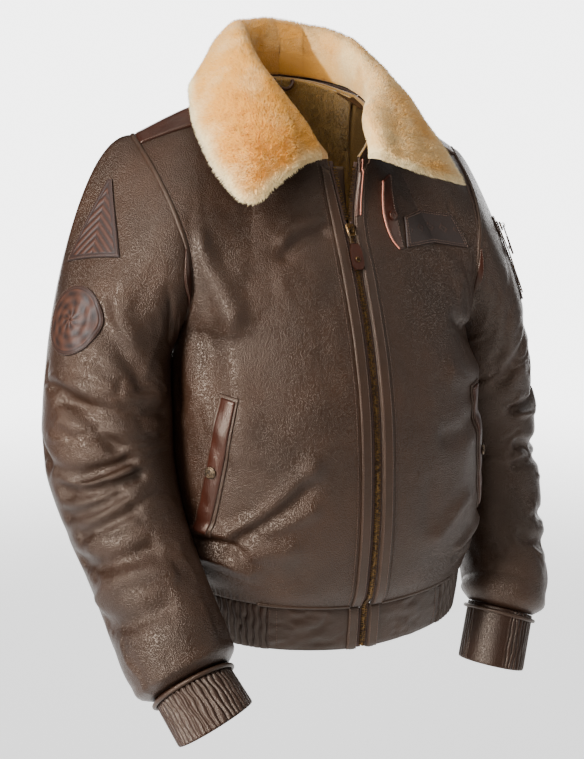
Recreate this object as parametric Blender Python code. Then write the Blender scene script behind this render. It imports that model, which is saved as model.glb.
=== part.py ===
"""A faux leather bomber jacket with a thick fleece collar, in the shape it has when worn.

Metres, +Z up.  The front faces -Y and +X is the wearer's left.  The origin is the middle
of the neck opening at the height of the nape.  Every piece that a maker would cut and sew
on is its own closed solid, 0.3 mm away from its neighbours.
"""
import math

import bpy
import bmesh
import numpy as np
from mathutils.bvhtree import BVHTree

# Driving sizes
WALL = 0.004            # bonded faux shearling, leather face and pile back
SEAM_GAP = 0.0003       # between pieces
TRIM = 0.0015           # a leather strip or patch that lies on a panel
TRIM_LIFT = 0.0005      # clear of the panel under it
ZIP_HALF_GAP = 0.0062   # from the middle of the zip to the front's edge
NECK_CORNER = 0.022     # half of the open neck at its lowest point
ARMPIT = 0.55           # rise of the armpit, from 0 at the hem to 1 at the shoulder
SHOULDER_POINT = 0.5    # across, where the neck ends and the shoulder seam starts
BAND_HEIGHT = 0.058     # waistband
LEAN = 0.035            # how far the right shoulder is up, over the distance across
FULL_RIGHT = 1.08       # how full the head of each sleeve is
FULL_LEFT = 0.78
TIP_LIFT_RIGHT = -0.006  # the collar's right leaf lies lower than the left
TIP_LIFT_LEFT = 0.016
SPREAD_RIGHT = 1.10     # how far each half of the collar falls outwards
SPREAD_LEFT = 0.60

# How finely each kind of piece is divided
ROWS_BELOW = 8
ROWS_ABOVE = 11
PANEL_COLUMNS = 10
SLEEVE_HEAD_ROWS = 5
SLEEVE_ROWS = 17
COLLAR_STATIONS = 26
COLLAR_STEPS = 9


def table(columns, *rows):
    """A short table as a dict of named columns."""
    values = np.array(rows, float)
    return {name: values[:, i] for i, name in enumerate(columns.split())}


def follow(rows, places, names="x y z"):
    """Smooth values of some columns at places along the table's first column."""
    steps = rows[next(iter(rows))]
    places = np.clip(np.atleast_1d(np.asarray(places, float)), steps[0], steps[-1])
    spans = np.diff(steps)
    cell = np.clip(np.searchsorted(steps, places, side="right") - 1, 0, len(spans) - 1)
    part = (places - steps[cell]) / spans[cell]
    out = []
    for name in names.split():
        value = rows[name]
        slope = np.diff(value) / spans
        tangent = np.empty(len(value))
        tangent[0] = slope[0]
        tangent[-1] = slope[-1]
        tangent[1:-1] = (slope[:-1] * spans[1:] + slope[1:] * spans[:-1]) / (spans[1:] + spans[:-1])
        a = value[cell]
        b = value[cell + 1]
        ta = tangent[cell] * spans[cell]
        tb = tangent[cell + 1] * spans[cell]
        out.append(a + part * (ta + part * (3 * (b - a) - 2 * ta - tb + part * (2 * (a - b) + ta + tb))))
    return np.stack(out, axis=-1)


def lean(points):
    """The jacket hangs with its right shoulder a little higher than its left."""
    points = np.array(points, float)
    points[:, 2] -= LEAN * points[:, 0]
    return points


def unit(vectors):
    """Vectors of length 1."""
    return vectors / np.maximum(np.linalg.norm(vectors, axis=-1, keepdims=True), 1e-9)


# The body's edges, for the wearer's left half.  Rise is 0 at the hem and 1 at the shoulder.
CENTRE_FRONT = table(
    "rise x y z",
    (0.00, ZIP_HALF_GAP, -0.180, -0.628),
    (0.05, ZIP_HALF_GAP, -0.190, -0.608),
    (0.13, ZIP_HALF_GAP, -0.1985, -0.565),
    (0.26, ZIP_HALF_GAP, -0.204, -0.494),
    (0.42, ZIP_HALF_GAP, -0.1985, -0.390),
    (0.55, ZIP_HALF_GAP, -0.181, -0.313),
    (0.68, ZIP_HALF_GAP, -0.152, -0.235),
    (0.80, ZIP_HALF_GAP + 0.0005, -0.129, -0.185),
    (1.00, NECK_CORNER, -0.111, -0.100),
)
CENTRE_BACK = table(
    "rise x y z",
    (0.00, 0.0, 0.072, -0.616),
    (0.05, 0.0, 0.080, -0.598),
    (0.13, 0.0, 0.084, -0.562),
    (0.26, 0.0, 0.084, -0.494),
    (0.42, 0.0, 0.088, -0.390),
    (0.55, 0.0, 0.094, -0.300),
    (0.68, 0.0, 0.099, -0.220),
    (0.84, 0.0, 0.094, -0.110),
    (1.00, 0.0, 0.066, -0.002),
)
SIDE_SEAM = table(
    "rise x y z",
    (0.00, 0.190, -0.055, -0.611),
    (0.05, 0.198, -0.056, -0.593),
    (0.13, 0.2020, -0.058, -0.556),
    (0.26, 0.2035, -0.060, -0.494),
    (0.42, 0.2000, -0.060, -0.390),
    (0.55, 0.1940, -0.058, -0.305),
)
ARMHOLE_FRONT = table(
    "rise x y z",
    (0.55, 0.194, -0.058, -0.305),
    (0.60, 0.190, -0.087, -0.290),
    (0.67, 0.188, -0.106, -0.252),
    (0.76, 0.192, -0.110, -0.212),
    (0.84, 0.201, -0.096, -0.172),
    (0.92, 0.210, -0.058, -0.128),
    (1.00, 0.218, 0.000, -0.084),
)
ARMHOLE_BACK = table(
    "rise x y z",
    (0.55, 0.194, -0.058, -0.305),
    (0.60, 0.192, -0.022, -0.294),
    (0.67, 0.190, 0.022, -0.262),
    (0.76, 0.192, 0.056, -0.212),
    (0.84, 0.197, 0.066, -0.166),
    (0.92, 0.206, 0.050, -0.120),
    (1.00, 0.218, 0.000, -0.084),
)
# The neck line from the middle out, and the shoulder seam that carries on to the tip
TOP_FRONT = table(
    "across x y z",
    (0.00, NECK_CORNER, -0.111, -0.100),
    (0.12, 0.041, -0.099, -0.080),
    (0.25, 0.056, -0.076, -0.058),
    (0.38, 0.067, -0.042, -0.037),
    (0.50, 0.072, -0.005, -0.024),
)
TOP_BACK = table(
    "across x y z",
    (0.00, 0.000, 0.066, -0.002),
    (0.15, 0.030, 0.061, -0.004),
    (0.28, 0.052, 0.047, -0.009),
    (0.40, 0.067, 0.022, -0.017),
    (0.50, 0.072, -0.005, -0.024),
)
SHOULDER = table(
    "across x y z",
    (0.50, 0.072, -0.005, -0.024),
    (0.75, 0.146, -0.004, -0.048),
    (1.00, 0.218, 0.000, -0.084),
)
# How square the body is at each rise, 2 is an ellipse
SQUARENESS = table(
    "rise front back",
    (0.00, 2.45, 2.5),
    (0.30, 2.35, 2.5),
    (0.55, 2.15, 2.3),
    (0.80, 1.75, 1.9),
    (1.00, 1.50, 1.6),
)
TOP_BLEND_START = 0.62
TOP_BLEND_POWER = 1.6


def body_rises(below, above):
    """The rises of a panel's rows, with one row exactly at the armpit."""
    low = np.linspace(0, ARMPIT, below + 1)
    high = np.linspace(ARMPIT, 1, above + 1)
    return np.concatenate([low, high[1:]])


def edge_points(rises, armhole):
    """The side seam below the armpit and one side of the armhole above it."""
    low = follow(SIDE_SEAM, rises)
    high = follow(armhole, rises)
    return np.where((rises <= ARMPIT)[:, None], low, high)


def half_panel(rises, across, centre, armhole, top, squareness):
    """Points of half the body, one row for each rise, from the middle to the side."""
    rises = np.atleast_1d(rises)
    across = np.atleast_1d(across)

    def arcs(at):
        inner = follow(centre, at)
        outer = edge_points(at, armhole)
        power = 2 / follow(SQUARENESS, at, squareness)
        turn = across[None, :] * math.pi / 2
        side = np.sin(turn) ** power
        depth = np.cos(turn).clip(0) ** power
        x = inner[:, None, 0] + (outer[:, None, 0] - inner[:, None, 0]) * side
        y = outer[:, None, 1] + (inner[:, None, 1] - outer[:, None, 1]) * depth
        z = inner[:, None, 2] + (outer[:, None, 2] - inner[:, None, 2]) * np.sin(turn)
        return np.stack([x, y, z], axis=-1)

    line = np.where((across <= SHOULDER_POINT)[:, None], follow(top, across), follow(SHOULDER, across))
    blend = ((rises - TOP_BLEND_START) / (1 - TOP_BLEND_START)).clip(0) ** TOP_BLEND_POWER
    lift = line[None] - arcs(np.array([1.0]))
    return arcs(rises) + blend[:, None, None] * lift


# Soft folds of the front, in metres across from the zip and up from the hem.
# A negative depth is a trough and sag bows the fold sideways.
FRONT_FOLDS = table(
    "across0 up0 across1 up1 sag width depth",
    (0.175, 0.02, 0.060, 0.05, 0.010, 0.020, -0.0035),
    (0.200, 0.33, 0.130, 0.30, 0.015, 0.018, -0.0040),
    (0.195, 0.27, 0.120, 0.20, 0.010, 0.020, 0.0030),
    (0.060, 0.45, 0.150, 0.38, 0.010, 0.022, 0.0030),
)
BACK_FOLDS = table(
    "across0 up0 across1 up1 sag width depth",
    (0.170, 0.02, 0.050, 0.05, 0.010, 0.022, -0.0040),
    (0.190, 0.34, 0.080, 0.42, 0.012, 0.024, -0.0040),
    (0.180, 0.10, 0.020, 0.13, -0.020, 0.026, 0.0035),
    (0.060, 0.53, 0.140, 0.47, 0.010, 0.022, 0.0030),
)


def relief(first, second, folds):
    """Height of a set of folds at places given by two lengths."""
    height = np.zeros(np.broadcast(first, second).shape)
    names = list(folds)
    for row in zip(*(folds[name] for name in names)):
        a0, b0, a1, b1, sag, width, depth = row
        run = np.array([a1 - a0, b1 - b0])
        length = math.hypot(*run)
        run = run / length
        along = ((first - a0) * run[0] + (second - b0) * run[1]) / length
        aside = (second - b0) * run[0] - (first - a0) * run[1]
        bow = sag * 4 * along.clip(0, 1) * (1 - along.clip(0, 1))
        past = (np.abs(along - 0.5) - 0.5).clip(0) * length
        height += depth * np.exp(-((aside - bow) ** 2 + past ** 2) / width ** 2)
    return height


def grid_normals(grid, wrap=False):
    """Normals of a grid of points, rows by columns."""
    down = np.gradient(grid, axis=0)
    if wrap:
        along = np.roll(grid, -1, axis=1) - np.roll(grid, 1, axis=1)
    else:
        along = np.gradient(grid, axis=1)
    return unit(np.cross(along, down))


def front_surface(rises, across, folded=True):
    """The left front's outer points and normals."""
    grid = half_panel(rises, across, CENTRE_FRONT, ARMHOLE_FRONT, TOP_FRONT, "front")
    normals = grid_normals(grid)
    if folded and len(np.atleast_1d(rises)) > 2:
        up = np.atleast_1d(rises)[:, None] * 0.56
        out = np.atleast_1d(across)[None, :] * 0.24
        edge = np.sin(np.clip(np.atleast_1d(across), 0, 1) * math.pi)[None, :] ** 0.5
        edge = edge * (1 - np.atleast_1d(rises).clip(0.8, 1) * 5 + 4)[:, None]
        grid = grid + normals * (relief(out, up, FRONT_FOLDS) * edge)[..., None]
    return grid, normals


def back_surface(rises, across, folded=True):
    """The left half of the back's outer points and normals."""
    grid = half_panel(rises, across, CENTRE_BACK, ARMHOLE_BACK, TOP_BACK, "back")
    normals = -grid_normals(grid)
    if folded and len(np.atleast_1d(rises)) > 2:
        up = np.atleast_1d(rises)[:, None] * 0.62
        out = np.atleast_1d(across)[None, :] * 0.24
        edge = np.cos(np.clip(np.atleast_1d(across), 0, 1) * math.pi / 2)[None, :] ** 0.5
        edge = edge * (1 - np.atleast_1d(rises).clip(0.8, 1) * 5 + 4)[:, None]
        grid = grid + normals * (relief(out, up, BACK_FOLDS) * edge)[..., None]
    return grid, normals


# Sleeve sections, wearer's left form: centre, half width to the side and to the front
SLEEVE_RIGHT = table(
    "down x y z wide deep",
    (0.00, 0.2680, -0.042, -0.340, 0.0690, 0.0790),
    (0.20, 0.2770, -0.054, -0.395, 0.0700, 0.0765),
    (0.36, 0.2810, -0.063, -0.445, 0.0700, 0.0750),
    (0.56, 0.2710, -0.087, -0.512, 0.0655, 0.0720),
    (0.74, 0.2570, -0.123, -0.571, 0.0620, 0.0680),
    (0.88, 0.2460, -0.159, -0.621, 0.0620, 0.0650),
    (0.96, 0.2380, -0.189, -0.658, 0.0610, 0.0620),
    (0.99, 0.2330, -0.199, -0.672, 0.0560, 0.0560),
    (1.00, 0.2312, -0.2035, -0.6775, 0.0455, 0.0455),
)
SLEEVE_LEFT = table(
    "down x y z wide deep",
    (0.00, 0.2560, -0.020, -0.320, 0.0600, 0.0750),
    (0.20, 0.2720, -0.004, -0.380, 0.0650, 0.0740),
    (0.36, 0.2840, 0.004, -0.440, 0.0680, 0.0720),
    (0.56, 0.2880, -0.010, -0.520, 0.0670, 0.0690),
    (0.74, 0.2830, -0.038, -0.585, 0.0630, 0.0650),
    (0.88, 0.2740, -0.068, -0.638, 0.0590, 0.0600),
    (0.96, 0.2630, -0.0900, -0.6700, 0.0570, 0.0580),
    (0.99, 0.2535, -0.0985, -0.6855, 0.0530, 0.0530),
    (1.00, 0.2505, -0.1003, -0.6935, 0.0430, 0.0430),
)
CUFF_RIGHT_END = (0.2185, -0.2445, -0.7100)
CUFF_LEFT_END = (0.2255, -0.1180, -0.7620)
# How the sleeve leaves the armhole, once round from the armpit over the front
SLEEVE_START = table(
    "turn x y z",
    (0.00, 0.010, 0.000, -0.030),
    (0.15, 0.030, -0.040, -0.030),
    (0.30, 0.050, -0.030, -0.050),
    (0.42, 0.080, 0.000, -0.050),
    (0.50, 0.140, 0.040, 0.010),
    (0.58, 0.130, 0.060, -0.010),
    (0.70, 0.070, 0.060, -0.040),
    (0.85, 0.040, 0.045, -0.030),
    (1.00, 0.010, 0.000, -0.030),
)
SLEEVE_HEAD_REACH = 0.16
# Folds of each sleeve: lengths along the arm and round it from the armpit over the front
RIGHT_FOLDS = table(
    "along0 round0 along1 round1 sag width depth",
    (0.300, 0.235, 0.325, 0.110, 0.020, 0.011, -0.0060),
    (0.322, 0.210, 0.338, 0.110, 0.012, 0.009, 0.0045),
    (0.345, 0.200, 0.350, 0.100, 0.008, 0.010, -0.0055),
    (0.215, 0.200, 0.300, 0.120, -0.008, 0.012, -0.0050),
    (0.375, 0.210, 0.372, 0.130, 0.006, 0.009, -0.0040),
    (0.405, 0.200, 0.400, 0.120, 0.005, 0.009, -0.0040),
    (0.430, 0.230, 0.455, 0.120, 0.010, 0.011, -0.0045),
    (0.480, 0.220, 0.490, 0.110, -0.010, 0.012, 0.0035),
    (0.505, 0.230, 0.520, 0.130, 0.006, 0.010, -0.0035),
    (0.130, 0.150, 0.210, 0.090, -0.010, 0.014, -0.0040),
    (0.330, 0.330, 0.350, 0.420, 0.010, 0.014, -0.0050),
    (0.390, 0.340, 0.380, 0.430, 0.010, 0.012, -0.0045),
    (0.240, 0.360, 0.300, 0.420, 0.006, 0.014, 0.0035),
)
LEFT_FOLDS = table(
    "along0 round0 along1 round1 sag width depth",
    (0.245, 0.210, 0.290, 0.120, 0.020, 0.012, -0.0060),
    (0.290, 0.205, 0.300, 0.130, 0.012, 0.010, 0.0040),
    (0.345, 0.220, 0.360, 0.120, 0.010, 0.011, -0.0060),
    (0.385, 0.200, 0.395, 0.110, -0.008, 0.010, -0.0045),
    (0.430, 0.225, 0.470, 0.160, 0.010, 0.011, -0.0045),
    (0.150, 0.190, 0.230, 0.100, -0.010, 0.014, -0.0045),
    (0.330, 0.320, 0.350, 0.410, 0.010, 0.014, -0.0050),
    (0.400, 0.330, 0.390, 0.420, 0.010, 0.012, -0.0045),
    (0.500, 0.200, 0.505, 0.110, 0.006, 0.010, -0.0035),
)
SLEEVES = {
    "right": (SLEEVE_RIGHT, RIGHT_FOLDS, FULL_RIGHT),
    "left": (SLEEVE_LEFT, LEFT_FOLDS, FULL_LEFT),
}
SLEEVE_LENGTH = 0.57
SLEEVE_GIRTH = 0.45


def arm_frame(sections, downs):
    """Centres of the sleeve's rings, and the ways to its outside and to its front."""
    centres = follow(sections, downs)
    step = 0.01
    runs = unit(follow(sections, downs + step) - follow(sections, downs - step))
    side = np.array([1.0, 0.0, 0.0])
    out = unit(side - runs * (runs @ side)[:, None])
    front = unit(np.cross(runs, out))
    return centres, out, front


def sleeve_ring(sections, downs, turns):
    """Points of the sleeve's rings; a turn of 0 faces the body and 0.25 the front."""
    centres, out, front = arm_frame(sections, downs)
    size = follow(sections, downs, "wide deep")
    angle = turns * 2 * math.pi
    aside = -np.cos(angle)[None, :, None] * size[:, None, 0:1] * out[:, None]
    ahead = np.sin(angle)[None, :, None] * size[:, None, 1:2] * front[:, None]
    return centres[:, None] + aside + ahead


def armhole_loop(turns):
    """The armhole, from the armpit over the front, the shoulder's tip and the back."""
    rise = ARMPIT + (1 - ARMPIT) * (1 - np.abs(turns * 2 - 1))
    ahead = follow(ARMHOLE_FRONT, rise)
    behind = follow(ARMHOLE_BACK, rise)
    return np.where((turns <= 0.5)[:, None], ahead, behind)


def sleeve_surface(sections, folds, full, head_rows, rows, turns, folded=True):
    """The sleeve's outer points and normals, from the armhole to the cuff."""
    start = armhole_loop(turns)
    leave = follow(SLEEVE_START, turns) * full
    ring = sleeve_ring(sections, np.array([0.0]), turns)[0]
    fall = sleeve_ring(sections, np.array([0.04]), turns)[0] - ring
    reach = np.linalg.norm(ring - start, axis=1, keepdims=True)
    arrive = unit(fall) * reach
    part = np.linspace(0, 1, head_rows + 1)[:-1, None, None]
    head = (start * (2 * part ** 3 - 3 * part ** 2 + 1) + leave * (part ** 3 - 2 * part ** 2 + part)
            + ring * (3 * part ** 2 - 2 * part ** 3) + arrive * (part ** 3 - part ** 2))
    downs = np.linspace(0, 1, rows + 1)
    downs = downs + 0.10 * downs * (1 - downs)
    grid = np.concatenate([head, sleeve_ring(sections, downs, turns)])
    normals = -grid_normals(grid, wrap=True)
    if folded:
        along = np.concatenate([part[:, 0, 0] * SLEEVE_HEAD_REACH,
                                SLEEVE_HEAD_REACH + downs * (SLEEVE_LENGTH - SLEEVE_HEAD_REACH)])
        round_arm = turns[None, :] * SLEEVE_GIRTH
        ends = ((along / 0.05).clip(0, 1) * ((SLEEVE_LENGTH - along) / 0.02).clip(0, 1))[:, None]
        grid = grid + normals * (relief(along[:, None], round_arm, folds) * ends)[..., None]
        normals = -grid_normals(grid, wrap=True)
    return grid, normals


# The collar's middle sheet: neck seam, two points that pull the roll, and the outer edge
COLLAR_THICK = 0.016
COLLAR_FALL_START = 0.5
COLLAR_FALL_GAP = 0.0085
COLLAR = table(
    "station nx ny nz ax ay az bx by bz ex ey ez",
    (0.00, 0.000, 0.070, 0.001, 0.000, 0.060, 0.088, 0.000, 0.112, 0.088, 0.000, 0.118, -0.028),
    (0.22, 0.047, 0.057, -0.003, 0.040, 0.043, 0.082, 0.062, 0.084, 0.074, 0.088, 0.088, -0.030),
    (0.45, 0.072, 0.014, -0.014, 0.060, 0.006, 0.064, 0.082, 0.020, 0.048, 0.128, 0.024, -0.030),
    (0.62, 0.075, -0.026, -0.028, 0.064, -0.036, 0.030, 0.096, -0.026, 0.022, 0.150, -0.022, -0.048),
    (0.80, 0.062, -0.072, -0.052, 0.058, -0.088, -0.018, 0.100, -0.088, -0.012, 0.162, -0.078, -0.086),
    (0.92, 0.042, -0.108, -0.083, 0.052, -0.122, -0.064, 0.096, -0.130, -0.060, 0.158, -0.120, -0.120),
    (1.00, 0.026, -0.124, -0.104, 0.058, -0.136, -0.097, 0.102, -0.152, -0.104, 0.148, -0.146, -0.146),
)


def collar_surface(stations, steps, tip_lift, spread):
    """The collar's middle sheet and its normals for one half in left form, back to front."""
    n = follow(COLLAR, stations, "nx ny nz")[:, None]
    a = follow(COLLAR, stations, "ax ay az")[:, None]
    b = follow(COLLAR, stations, "bx by bz")[:, None]
    e = follow(COLLAR, stations, "ex ey ez")[:, None]
    e[:, 0, 2] += tip_lift * np.asarray(stations) ** 4
    ease = 1 + (spread - 1) * np.sin(math.pi * np.asarray(stations)) ** 0.7
    e[:, 0, 0] = n[:, 0, 0] + (e[:, 0, 0] - n[:, 0, 0]) * ease
    b[:, 0, 0] = n[:, 0, 0] + (b[:, 0, 0] - n[:, 0, 0]) * ease
    q = np.asarray(steps)[None, :, None]
    grid = n * (1 - q) ** 3 + 3 * a * q * (1 - q) ** 2 + 3 * b * q ** 2 * (1 - q) + e * q ** 3
    return grid, -grid_normals(grid)


def material(name, colour, roughness, metallic=0.0):
    """A plain finish, shared by name."""
    found = bpy.data.materials.get(name)
    if found:
        return found
    made = bpy.data.materials.new(name)
    made.use_nodes = True
    shader = made.node_tree.nodes["Principled BSDF"]
    shader.inputs["Base Color"].default_value = (*colour, 1)
    shader.inputs["Roughness"].default_value = roughness
    shader.inputs["Metallic"].default_value = metallic
    made.diffuse_color = (*colour, 1)
    return made


def leather(name):
    return material(name + "_leather", (0.075, 0.050, 0.036), 0.45)


def brown(name):
    return material(name + "_brown_leather", (0.115, 0.040, 0.020), 0.35)


def fleece(name):
    return material(name + "_fleece", (0.72, 0.46, 0.20), 0.95)


def brass(name):
    return material(name + "_brass", (0.33, 0.24, 0.12), 0.35, 1.0)


FORMS = {}


def add_piece(name, points, faces, finish):
    """A closed solid from points and faces, with its faces turned outwards."""
    mesh = bpy.data.meshes.new(name)
    mesh.from_pydata([tuple(p) for p in lean(points)], [], faces)
    form = bmesh.new()
    form.from_mesh(mesh)
    bmesh.ops.recalc_face_normals(form, faces=form.faces)
    form.to_mesh(mesh)
    form.free()
    mesh.calc_loop_triangles()
    FORMS[name] = (np.array(points, float), [tuple(side.vertices) for side in mesh.loop_triangles])
    mesh.shade_smooth()
    mesh.set_sharp_from_angle(angle=math.radians(40))
    mesh.materials.append(finish(name))
    piece = bpy.data.objects.new(name, mesh)
    bpy.context.scene.collection.objects.link(piece)
    return piece


def shell(name, outer, inner, finish, wrap=False):
    """A wall between two grids of points.  A wrapped grid closes on itself."""
    rows, columns = outer.shape[:2]
    points = np.concatenate([outer.reshape(-1, 3), inner.reshape(-1, 3)])
    half = rows * columns
    faces = []
    spans = columns if wrap else columns - 1
    for r in range(rows - 1):
        for c in range(spans):
            d = (c + 1) % columns
            corner = (r * columns + c, r * columns + d, (r + 1) * columns + d, (r + 1) * columns + c)
            faces.append(corner)
            faces.append(tuple(half + i for i in reversed(corner)))
    for c in range(spans):
        d = (c + 1) % columns
        faces.append((half + c, half + d, d, c))
        last = (rows - 1) * columns
        faces.append((last + c, last + d, half + last + d, half + last + c))
    if not wrap:
        for r in range(rows - 1):
            a = r * columns
            b = a + columns
            faces.append((a, b, half + b, half + a))
            a += columns - 1
            b += columns - 1
            faces.append((b, a, half + a, half + b))
    return add_piece(name, points, faces, finish)


def pull_in(grid, gap, wrap=False):
    """How far each edge point moves so that neighbours stay a seam's gap apart."""
    shift = np.zeros_like(grid)
    shift[0] += unit(grid[1] - grid[0]) * gap
    shift[-1] += unit(grid[-2] - grid[-1]) * gap
    if not wrap:
        shift[:, 0] += unit(grid[:, 1] - grid[:, 0]) * gap
        shift[:, -1] += unit(grid[:, -2] - grid[:, -1]) * gap
    return shift


def mirrored(grid):
    """The same points on the wearer's right."""
    return grid * np.array([-1.0, 1.0, 1.0])


def on_side(grid, side):
    """The points on the side with that sign."""
    return grid if side > 0 else mirrored(grid)


SIDES = {"left": 1, "right": -1}


def armhole_normals():
    """One way through the wall for each point of the armhole, shared by panel and sleeve."""
    rises = body_rises(ROWS_BELOW, ROWS_ABOVE)
    across = np.linspace(0, 1, PANEL_COLUMNS + 1)
    front = front_surface(rises, across)[1][-ROWS_ABOVE - 1:, -1]
    back = back_surface(rises, across)[1][-ROWS_ABOVE - 1:, -1]
    panel = np.concatenate([front, back[-2:0:-1]])
    panel[0] += back[0]
    panel[ROWS_ABOVE] += back[-1]
    turns = np.arange(2 * ROWS_ABOVE) / (2 * ROWS_ABOVE)
    sleeves = [sleeve_surface(sections, folds, full, SLEEVE_HEAD_ROWS, SLEEVE_ROWS, turns)[1][0]
               for sections, folds, full in SLEEVES.values()]
    return unit(unit(panel) + unit(sum(sleeves)))


def build_body():
    """Two fronts and a back, each a wall with the seams pulled a little apart."""
    rises = body_rises(ROWS_BELOW, ROWS_ABOVE)
    across = np.linspace(0, 1, PANEL_COLUMNS + 1)
    front, front_normals = front_surface(rises, across)
    back, back_normals = back_surface(rises, across)
    loop = armhole_normals()
    side_rows = rises <= ARMPIT
    shared = unit(front_normals[side_rows, -1] + back_normals[side_rows, -1])
    front_normals[side_rows, -1] = shared
    back_normals[side_rows, -1] = shared
    shoulder = across >= SHOULDER_POINT
    shared = unit(front_normals[-1, shoulder] + back_normals[-1, shoulder])
    front_normals[-1, shoulder] = shared
    back_normals[-1, shoulder] = shared
    front_normals[-ROWS_ABOVE - 1:, -1] = loop[:ROWS_ABOVE + 1]
    back_normals[-ROWS_ABOVE - 1:, -1] = np.concatenate([loop[:1], loop[:ROWS_ABOVE - 1:-1]])
    shift = pull_in(front, SEAM_GAP)
    outer = front + shift
    inner = outer - front_normals * WALL
    for side, sign in SIDES.items():
        shell("front_" + side, on_side(outer, sign), on_side(inner, sign), leather)
    shift = pull_in(back, SEAM_GAP)
    shift[:, 0] = 0
    shift[0, 0] = (0, 0, SEAM_GAP)
    shift[-1, 0] = (0, 0, -SEAM_GAP)
    outer = back + shift
    inner = outer - back_normals * WALL
    outer = np.concatenate([mirrored(outer[:, :0:-1]), outer], axis=1)
    inner = np.concatenate([mirrored(inner[:, :0:-1]), inner], axis=1)
    shell("back", outer, inner, leather)


def build_sleeves():
    """Each sleeve is one tube from the armhole to the cuff."""
    turns = np.arange(2 * ROWS_ABOVE) / (2 * ROWS_ABOVE)
    loop = armhole_normals()
    for side, (sections, folds, full) in SLEEVES.items():
        grid, normals = sleeve_surface(sections, folds, full, SLEEVE_HEAD_ROWS, SLEEVE_ROWS, turns)
        normals[0] = loop
        outer = grid + pull_in(grid, 2 * SEAM_GAP, wrap=True)
        inner = outer - normals * WALL
        sign = SIDES[side]
        shell("sleeve_" + side, on_side(outer, sign), on_side(inner, sign), leather, wrap=True)


def body_cloud():
    """Points and normals of the left half of the body's top, for what lies over it."""
    rises = np.linspace(0.6, 1, 60)
    across = np.linspace(0, 1, 80)
    sheets = [surface(rises, across, False) for surface in (front_surface, back_surface)]
    places = np.concatenate([grid[:-1].reshape(-1, 3) for grid, _ in sheets])
    ways = np.concatenate([normals[:-1].reshape(-1, 3) for _, normals in sheets])
    return places, ways


def fall_lift(middle, steps):
    """How far, and which way, the fall moves to stay clear of the body."""
    places, ways = body_cloud()
    lift = np.zeros(middle.shape[:2])
    ahead = np.zeros(middle.shape)
    for i, row in enumerate(middle):
        for j, point in enumerate(row):
            near = np.argmin(((places - point) ** 2).sum(axis=1))
            ahead[i, j] = ways[near]
            if steps[j] >= COLLAR_FALL_START:
                height = (point - places[near]) @ ways[near]
                lift[i, j] = max(COLLAR_THICK / 2 + COLLAR_FALL_GAP - height, 0)
    for _ in range(2):
        padded = np.pad(lift, 1, mode="edge")
        around = padded[:-2, 1:-1] + padded[2:, 1:-1] + padded[1:-1, :-2] + padded[1:-1, 2:]
        lift = np.maximum(lift, around / 4)
    return ahead * lift[..., None]


def build_collar():
    """The collar is one thick sheet that stands, rolls over and falls."""
    stations = np.linspace(0, 1, COLLAR_STATIONS // 2 + 1)
    steps = np.linspace(0, 1, COLLAR_STEPS + 1)
    halves = []
    for lift, spread in ((TIP_LIFT_RIGHT, SPREAD_RIGHT), (TIP_LIFT_LEFT, SPREAD_LEFT)):
        middle, normals = collar_surface(stations, steps, lift, spread)
        middle = middle + fall_lift(middle, steps)
        halves.append((middle + normals * COLLAR_THICK / 2, middle - normals * COLLAR_THICK / 2))
    right, left = halves
    outer, inner = (np.concatenate([mirrored(r[:0:-1]), l]) for r, l in zip(right, left))
    shell("collar", outer, inner, fleece)


def rest(grid, normals, names, wrap=False):
    """Move a panel's points along their normals onto the faces of the built pieces.

    A cell of the grid that a ridge of those faces would pierce is lifted over it.
    """
    points = []
    faces = []
    for name in names:
        form, sides = FORMS[name]
        faces += [tuple(len(points) + i for i in side) for side in sides]
        points += [tuple(p) for p in form]
    tree = BVHTree.FromPolygons(points, faces)
    reach = 0.02

    def height(point, normal):
        hit = tree.ray_cast(tuple(point + normal * reach), tuple(-normal), 2 * reach)
        return 0.0 if hit[0] is None else reach - hit[3]

    rested = grid.copy()
    for place in np.ndindex(grid.shape[:-1]):
        rested[place] += normals[place] * height(grid[place], normals[place])
    rows, columns = grid.shape[:2]
    lift = np.zeros((rows, columns))
    parts = np.linspace(0, 1, 6)
    for r in range(rows - 1):
        for c in range(columns if wrap else columns - 1):
            d = (c + 1) % columns
            corners = ((r, c), (r, d), (r + 1, c), (r + 1, d))
            highest = 0.0
            for u in parts:
                for v in parts:
                    shares = ((1 - u) * (1 - v), (1 - u) * v, u * (1 - v), u * v)
                    point = sum(share * rested[corner] for share, corner in zip(shares, corners))
                    normal = unit(sum(share * normals[corner] for share, corner in zip(shares, corners)))
                    highest = max(highest, height(point, normal))
            for corner in corners:
                lift[corner] = max(lift[corner], highest)
    return rested + normals * lift[..., None]


def lay(name, grid, normals, low, thick, names, finish, side=1):
    """A strip or patch whose underside is a given height over the pieces it lies on."""
    grid = on_side(grid, side)
    normals = on_side(normals, side)
    base = rest(grid, normals, names)
    return shell(name, base + normals * (low + thick), base + normals * low, finish)


def spot(surface, rises, across, *more):
    """Points and normals of a panel at matching lists of places, one for each."""
    fine_rises = np.linspace(0, 1, 181)
    fine_across = np.linspace(0, 1, 121)
    grid, normals = surface(fine_rises, fine_across, *more)
    row = np.asarray(rises) * 180
    column = np.asarray(across) * 120
    r = np.clip(row.astype(int), 0, 179)
    c = np.clip(column.astype(int), 0, 119)
    fr = (row - r)[..., None]
    fc = (column - c)[..., None]

    def mix(values):
        low = values[r, c] * (1 - fc) + values[r, c + 1] * fc
        high = values[r + 1, c] * (1 - fc) + values[r + 1, c + 1] * fc
        return low * (1 - fr) + high * fr

    return mix(grid), unit(mix(normals))


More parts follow.
